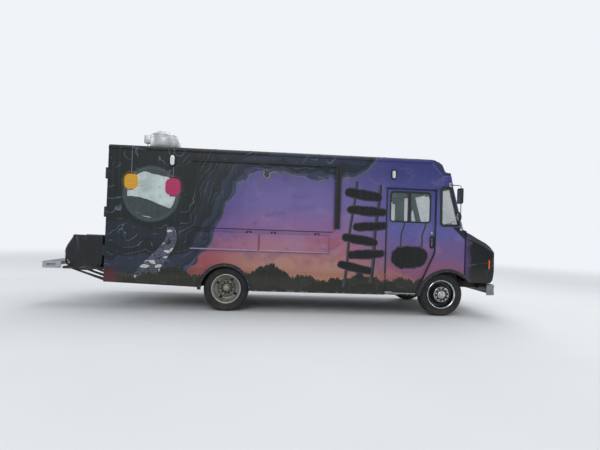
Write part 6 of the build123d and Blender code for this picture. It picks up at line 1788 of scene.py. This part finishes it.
def make_grille():
    x0, x1 = ahead(0.938), ahead(0.968)
    form = Form()
    edge = box_outline(-GRILLE_Y + 0.012, GRILLE_Y - 0.012, GRILLE_Z[0] + 0.012, GRILLE_Z[1] - 0.012)
    path = bent([(x1 - 0.012, y, z) for y, z in edge], 0.03, 4, loop=True)
    form.sweep(path, [(a * 1.15, b) for a, b in ring_points(0.0125, 12)], loop=True, up=(1, 0, 0))
    slat = Form().prism(((x0 + 0.004, -0.010), (x0 + 0.007, -0.012), (x1 - 0.006, 0.001), (x1 - 0.003, 0.009),
                         (x1 - 0.006, 0.011), (x1 - 0.010, 0.004)), "y", -GRILLE_Y + 0.016, GRILLE_Y - 0.016)
    pitch = (GRILLE_Z[1] - GRILLE_Z[0] - 0.024) / 12
    form.row(slat, "black_trim", 11, (0, 0, GRILLE_Z[0] + 0.012 + pitch), (0, 0, pitch))
    for y in (-0.28, 0.0, 0.28):
        form.bar((x0 + 0.001, y - 0.006, GRILLE_Z[0] + 0.01), (x0 + 0.010, y + 0.006, GRILLE_Z[1] - 0.01),
                 0.002)
    piece("grille_slats", form, "black_trim", "truck_body", ["grille"], 30)


def make_radiator_shroud():
    """Folded plates from the radiator out to the nose's sides, so that no daylight shows past it."""
    form = Form()
    for side in (-1, 1):
        y0, y1 = sorted((side * 0.412, side * (HALF_W - 0.040)))
        form.bar((ahead(0.597), y0, 0.640), (ahead(0.601), y1, 1.340), 0.001, 1)
        y0, y1 = sorted((side * 0.412, side * 0.424))
        form.bar((ahead(0.575), y0, 0.660), (ahead(0.604), y1, 1.320), 0.002)
    piece("radiator_shroud", form, "chassis_black")


# Steering wheel: thick rim, three dished spokes and a horn pad
COLUMN_MID = Vector((ahead(-0.040), SEAT_Y, 1.440))
COLUMN_TILT = math.radians(-58)
WHEEL_UP = 0.420 / 2 + 0.0153


def make_steering_wheel():
    form = Form()
    form.tube([(0.205 * math.cos(t), 0.205 * math.sin(t), 0.0)
               for t in (2 * math.pi * i / 72 for i in range(72))], 0.0135, 12, loop=True)
    for turn in (0.0, 2 * math.pi / 3, 4 * math.pi / 3):
        spoke = Form().tube(bent([(0.020, 0, -0.004), (0.090, 0, -0.012), (0.196, 0, 0.0)], 0.04, 5),
                            0.0095, 10, up=(0, 1, 0))
        bmesh.ops.rotate(spoke.mesh, verts=spoke.mesh.verts, cent=(0, 0, 0),
                         matrix=Matrix.Rotation(turn, 3, "Z"))
        form.take(spoke.made("spoke"))
    form.lathe(((0, -0.014), (0.042, -0.014), (0.045, -0.008), (0.045, 0.004), (0.038, 0.011),
                (0.022, 0.014), (0, 0.0145)), (0, 0, 0), "z", 36)
    turn = (Matrix.Translation(COLUMN_MID) @ Matrix.Rotation(COLUMN_TILT, 4, "Y")
            @ Matrix.Translation((0, 0, WHEEL_UP)))
    bmesh.ops.transform(form.mesh, matrix=turn, verts=form.mesh.verts)
    piece("steering_wheel_rim", form, "black_trim", "steering_wheel", ["steering_wheel"], 40)


# Rear: lock rods with keepers and handles, leaf seals, a blank plate and its lamp
STRAP_X = ahead(-6.157)


def on_tail(outline, side=1):
    """Places on the rear wall from pairs of distance out from the middle and height."""
    return [(REAR_X, side * y, z) for y, z in outline]


def make_rear_details():
    heads = []
    for side, body, word in ((1, "rear_door_left", "left"), (-1, "truck_body", "right")):
        form = Form()
        y = side * 0.0675
        form.tube([(REAR_X - 0.004, y, 0.872), (REAR_X - 0.004, y, 2.540)], 0.013, 12, up=(1, 0, 0))
        for z in (0.92, 1.42, 1.96, 2.47):
            form.bar((REAR_X - 0.023, y - 0.030, z - 0.020), (REAR_X + 0.001, y + 0.030, z + 0.020), 0.004)
        y0, y1 = sorted((y, y + side * 0.190))
        form.bar((REAR_X - 0.036, y0, 1.188), (REAR_X - 0.022, y1, 1.214), 0.006, 3)
        y0, y1 = sorted((y + side * 0.140, y + side * 0.170))
        form.bar((REAR_X - 0.044, y0, 1.170), (REAR_X + 0.001, y1, 1.232), 0.004)
        piece("rear_lock_rod_" + word, form, "aluminium", body)
        form = Form()
        edge = on_tail(box_outline(0.013, 0.847, 0.813, 2.587), side)
        form.sweep(bent(edge, 0.02, 4, loop=True), strip(0.016, 0.004), loop=True, up=(-1, 0, 0))
        for z in (1.25, 2.05):
            panel = on_tail(box_outline(0.16, 0.62, z - 0.30, z + 0.30), side)
            form.sweep(bent(panel, 0.05, 5, loop=True), strip(0.008, 0.003), loop=True, up=(-1, 0, 0))
        piece("rear_leaf_seal_" + word, form, "black_trim", body)
        rows = [((STRAP_X, side * a, z0 + 0.022), (STRAP_X, side * a, z1 - 0.022), 0.04, (-1, 0, 0))
                for z0, z1 in ((2.336, 2.467), (1.655, 1.774), (0.974, 1.093)) for a in (0.70, 0.78)]
        rivet_rows("hinge_bolts_" + word, rows, "aluminium", body, 2.2)
        for ends in (((1.135, 0.52), (1.135, 2.80)), ((0.04, 2.68), (1.09, 2.68)),
                     ((0.04, 0.765), (0.98, 0.765))):
            heads.append((*on_tail(ends, side), 0.060, (-1, 0, 0)))
    rivet_rows("rear_wall_rivets", heads, "wrap_right")
    form = Form()
    edge = bent(on_tail(box_outline(0.26, 0.57, 0.562, 0.716)), 0.015, 4, loop=True)
    form.prism([(p.y, p.z) for p in edge], "x", REAR_X - 0.0045, REAR_X + 0.001)
    piece("rear_blank_plate", form, "lens_frost")
    form = Form().tube([(REAR_X - 0.004, p.y, p.z) for p in edge], 0.005, 8, loop=True, up=(1, 0, 0))
    form.bar((REAR_X - 0.030, 0.375, 0.724), (REAR_X + 0.001, 0.455, 0.744), 0.006, 3)
    piece("rear_plate_frame", form, "black_trim")


# Nose: beads and rubber latches on the lid
HOOD_LINE = ((0.500, 1.5755), (0.576, 1.542), (0.696, 1.469), (0.800, 1.4175))


def make_nose_details():
    form = Form()
    for y in (-0.52, -0.16, 0.16, 0.52):
        form.sweep([(ahead(x), y, z) for x, z in HOOD_LINE], strip(0.036, 0.006), up=(0.45, 0, 0.9))
    piece("hood_beads", form, "nose_black", "hood_lid")
    form = Form()
    for y in (-0.66, 0.66):
        outline = ((0.800, 1.4185), (0.874, 1.383), (0.878, 1.392), (0.846, 1.416), (0.808, 1.433))
        form.prism([(ahead(x), z) for x, z in outline], "y", y - 0.016, y + 0.016, 0.003)
        form.lathe(((0, -0.026), (0.007, -0.026), (0.007, 0.026), (0, 0.026)), (ahead(0.822), y, 1.4225),
                   "y", 12)
    piece("hood_latches", form, "black_trim", "hood_lid")


# Cab fittings: instrument pod, switch panel, glove box edge, lever, pedals and the engine cover's clips
def make_cab_fittings():
    dash = ahead(0.022)
    form = Form()
    form.bar((dash, SEAT_Y - 0.235, 1.435), (ahead(0.110), SEAT_Y + 0.235, 1.600), 0.018, 3)
    form.bar((dash - 0.022, SEAT_Y - 0.245, 1.588), (ahead(0.120), SEAT_Y + 0.245, 1.606), 0.006)
    form.bar((ahead(0.034), -0.120, 1.440), (ahead(0.070), 0.240, 1.545), 0.006)
    box = [(ahead(0.0405), y, z) for y, z in box_outline(-0.80, -0.32, 1.435, 1.545)]
    form.sweep(bent(box, 0.02, 4, loop=True), strip(0.010, 0.008, 0.012), loop=True, up=(-1, 0, 0.2))
    form.tube(bent([(ahead(-0.27), 0.20, 1.188), (ahead(-0.27), 0.20, 1.34), (ahead(-0.33), 0.22, 1.46)],
                   0.05, 5), 0.008, 10, up=(0, 1, 0))
    form.lathe(((0, 0), (0.016, 0.004), (0.024, 0.018), (0.023, 0.032), (0.012, 0.044), (0, 0.047)),
               (ahead(-0.33), 0.22, 1.452), "z", 20)
    form.lathe(((0, 0), (0.060, 0), (0.056, 0.012), (0.030, 0.040), (0.014, 0.070), (0, 0.070)),
               (ahead(-0.27), 0.20, 1.186), "z", 24)
    for y in (SEAT_Y - 0.14, SEAT_Y, SEAT_Y + 0.15):
        form.tube(bent([(ahead(0.20), y, 1.20), (ahead(0.14), y, 1.02), (ahead(0.10), y, 0.96)], 0.04, 4),
                  0.008, 8, up=(0, 1, 0))
        form.bar((ahead(0.080), y - 0.034, 0.915), (ahead(0.096), y + 0.034, 1.000), 0.005)
    piece("dash_pod_and_controls", form, "black_trim")
    form = Form()
    faces = Form()
    for y in (-0.145, 0.0, 0.145):
        form.lathe(((0.044, -0.008), (0.049, -0.006), (0.052, 0.002), (0.044, 0.002)),
                   (dash, SEAT_Y + y, 1.512), "x", 32, ring=True)
        faces.lathe(((0, -0.003), (0.045, -0.003), (0.045, 0.002), (0, 0.002)), (dash, SEAT_Y + y, 1.512),
                    "x", 32)
    for i in range(6):
        form.lathe(((0, -0.010), (0.006, -0.010), (0.008, 0.001), (0, 0.001)),
                   (ahead(0.034), -0.08 + i * 0.055, 1.49), "x", 12)
    piece("dash_bezels_and_knobs", form, "chrome")
    piece("dash_dial_faces", faces, "lens_frost")
    form = Form()
    for y in (-0.341, 0.341):
        for x in (-0.62, -0.05):
            form.bar((ahead(x) - 0.018, y - 0.008, 1.05), (ahead(x) + 0.018, y + 0.008, 1.15), 0.004)
    tray = bent([(ahead(x), y, 0) for x, y in box_outline(-0.66, -0.40, -0.22, 0.08)], 0.04, 5, loop=True)
    form.sweep([Vector((p.x, p.y, 1.189)) for p in tray], strip(0.014, 0.026), loop=True)
    piece("engine_cover_clips_and_tray", form, "cab_grey")


# Under the floor: dampers, tank straps and exhaust bands
def make_underbody():
    form = Form()
    for x in (-2.66, -2.14):
        strap = box_outline(-1.043, -0.459, 0.427, 0.733)
        hoop = bent([(ahead(x), a, b) for a, b in strap], 0.05, 5, loop=True)
        form.sweep(hoop, ((-0.003, -0.02), (0.003, -0.02), (0.003, 0.02), (-0.003, 0.02)), loop=True,
                   up=(1, 0, 0))
        form.lathe(((0, -0.02), (0.007, -0.02), (0.007, 0.02), (0, 0.02)), (ahead(x), -1.052, 0.60), "x", 10)
    piece("fuel_tank_straps", form, "chassis_black")
    form = Form()
    for x in (-2.24, -1.76):
        form.lathe(((0.1035, -0.014), (0.109, -0.014), (0.109, 0.014), (0.1035, 0.014)),
                   (ahead(x), 0.640, 0.500), "x", 40, ring=True)
        form.tube([(ahead(x), 0.600, 0.600), (ahead(x), 0.440, 0.680)], 0.008, 8)
    piece("exhaust_bands", form, "cast_steel")
    form = Form()
    for axle, seat in ((AXLE_F, 0.40), (AXLE_R, 0.42)):
        for side in (-1, 1):
            foot = Vector((axle - 0.115, side * 0.462, seat))
            head = Vector((axle - 0.330, side * 0.448, 0.690))
            form.tube([foot, head], 0.017, 10)
            form.tube([foot.lerp(head, 0.08), foot.lerp(head, 0.52)], 0.026, 14)
            form.tube([foot.lerp(head, 0.44), foot.lerp(head, 0.96)], 0.031, 14)
    piece("dampers", form, "chassis_black")


# Roof: low bows across the skin, and ribs on the rack's plank
def make_roof_and_plank():
    bow = Form().sweep([(0, y / 20 * 1.130, ROOF_Z - 0.001 + 0.022 * (1 - (y / 20) ** 2))
                        for y in range(-20, 21)], strip(0.030, 0.006))
    form = Form().row(bow, "roof_cap", 8, (ahead(-4.88), 0, 0), (0.62, 0, 0))
    piece("roof_bows", form, "roof_cap")
    rib = Form().bar((ahead(-7.200), -0.008, 0.8062), (ahead(-6.900), 0.008, 0.8092), 0.001, 1)
    form = Form().row(rib, "aluminium", 15, (0, -1.05, 0), (0, 0.05, 0))
    piece("plank_ribs", form, "aluminium")


for make in (make_camera, make_stage, make_light, make_wheels, make_arch_liners, make_generator, make_fan,
             make_mirrors, make_headlamps, make_ovals, make_bumper, make_door_trims, make_windscreen_trims,
             make_flares, make_side_strips, make_hatch_trims, make_rivets, make_cover, make_seat,
             make_small_lamps, make_grille, make_radiator_shroud, make_steering_wheel, make_rear_details,
             make_nose_details, make_cab_fittings, make_underbody, make_roof_and_plank):
    make()
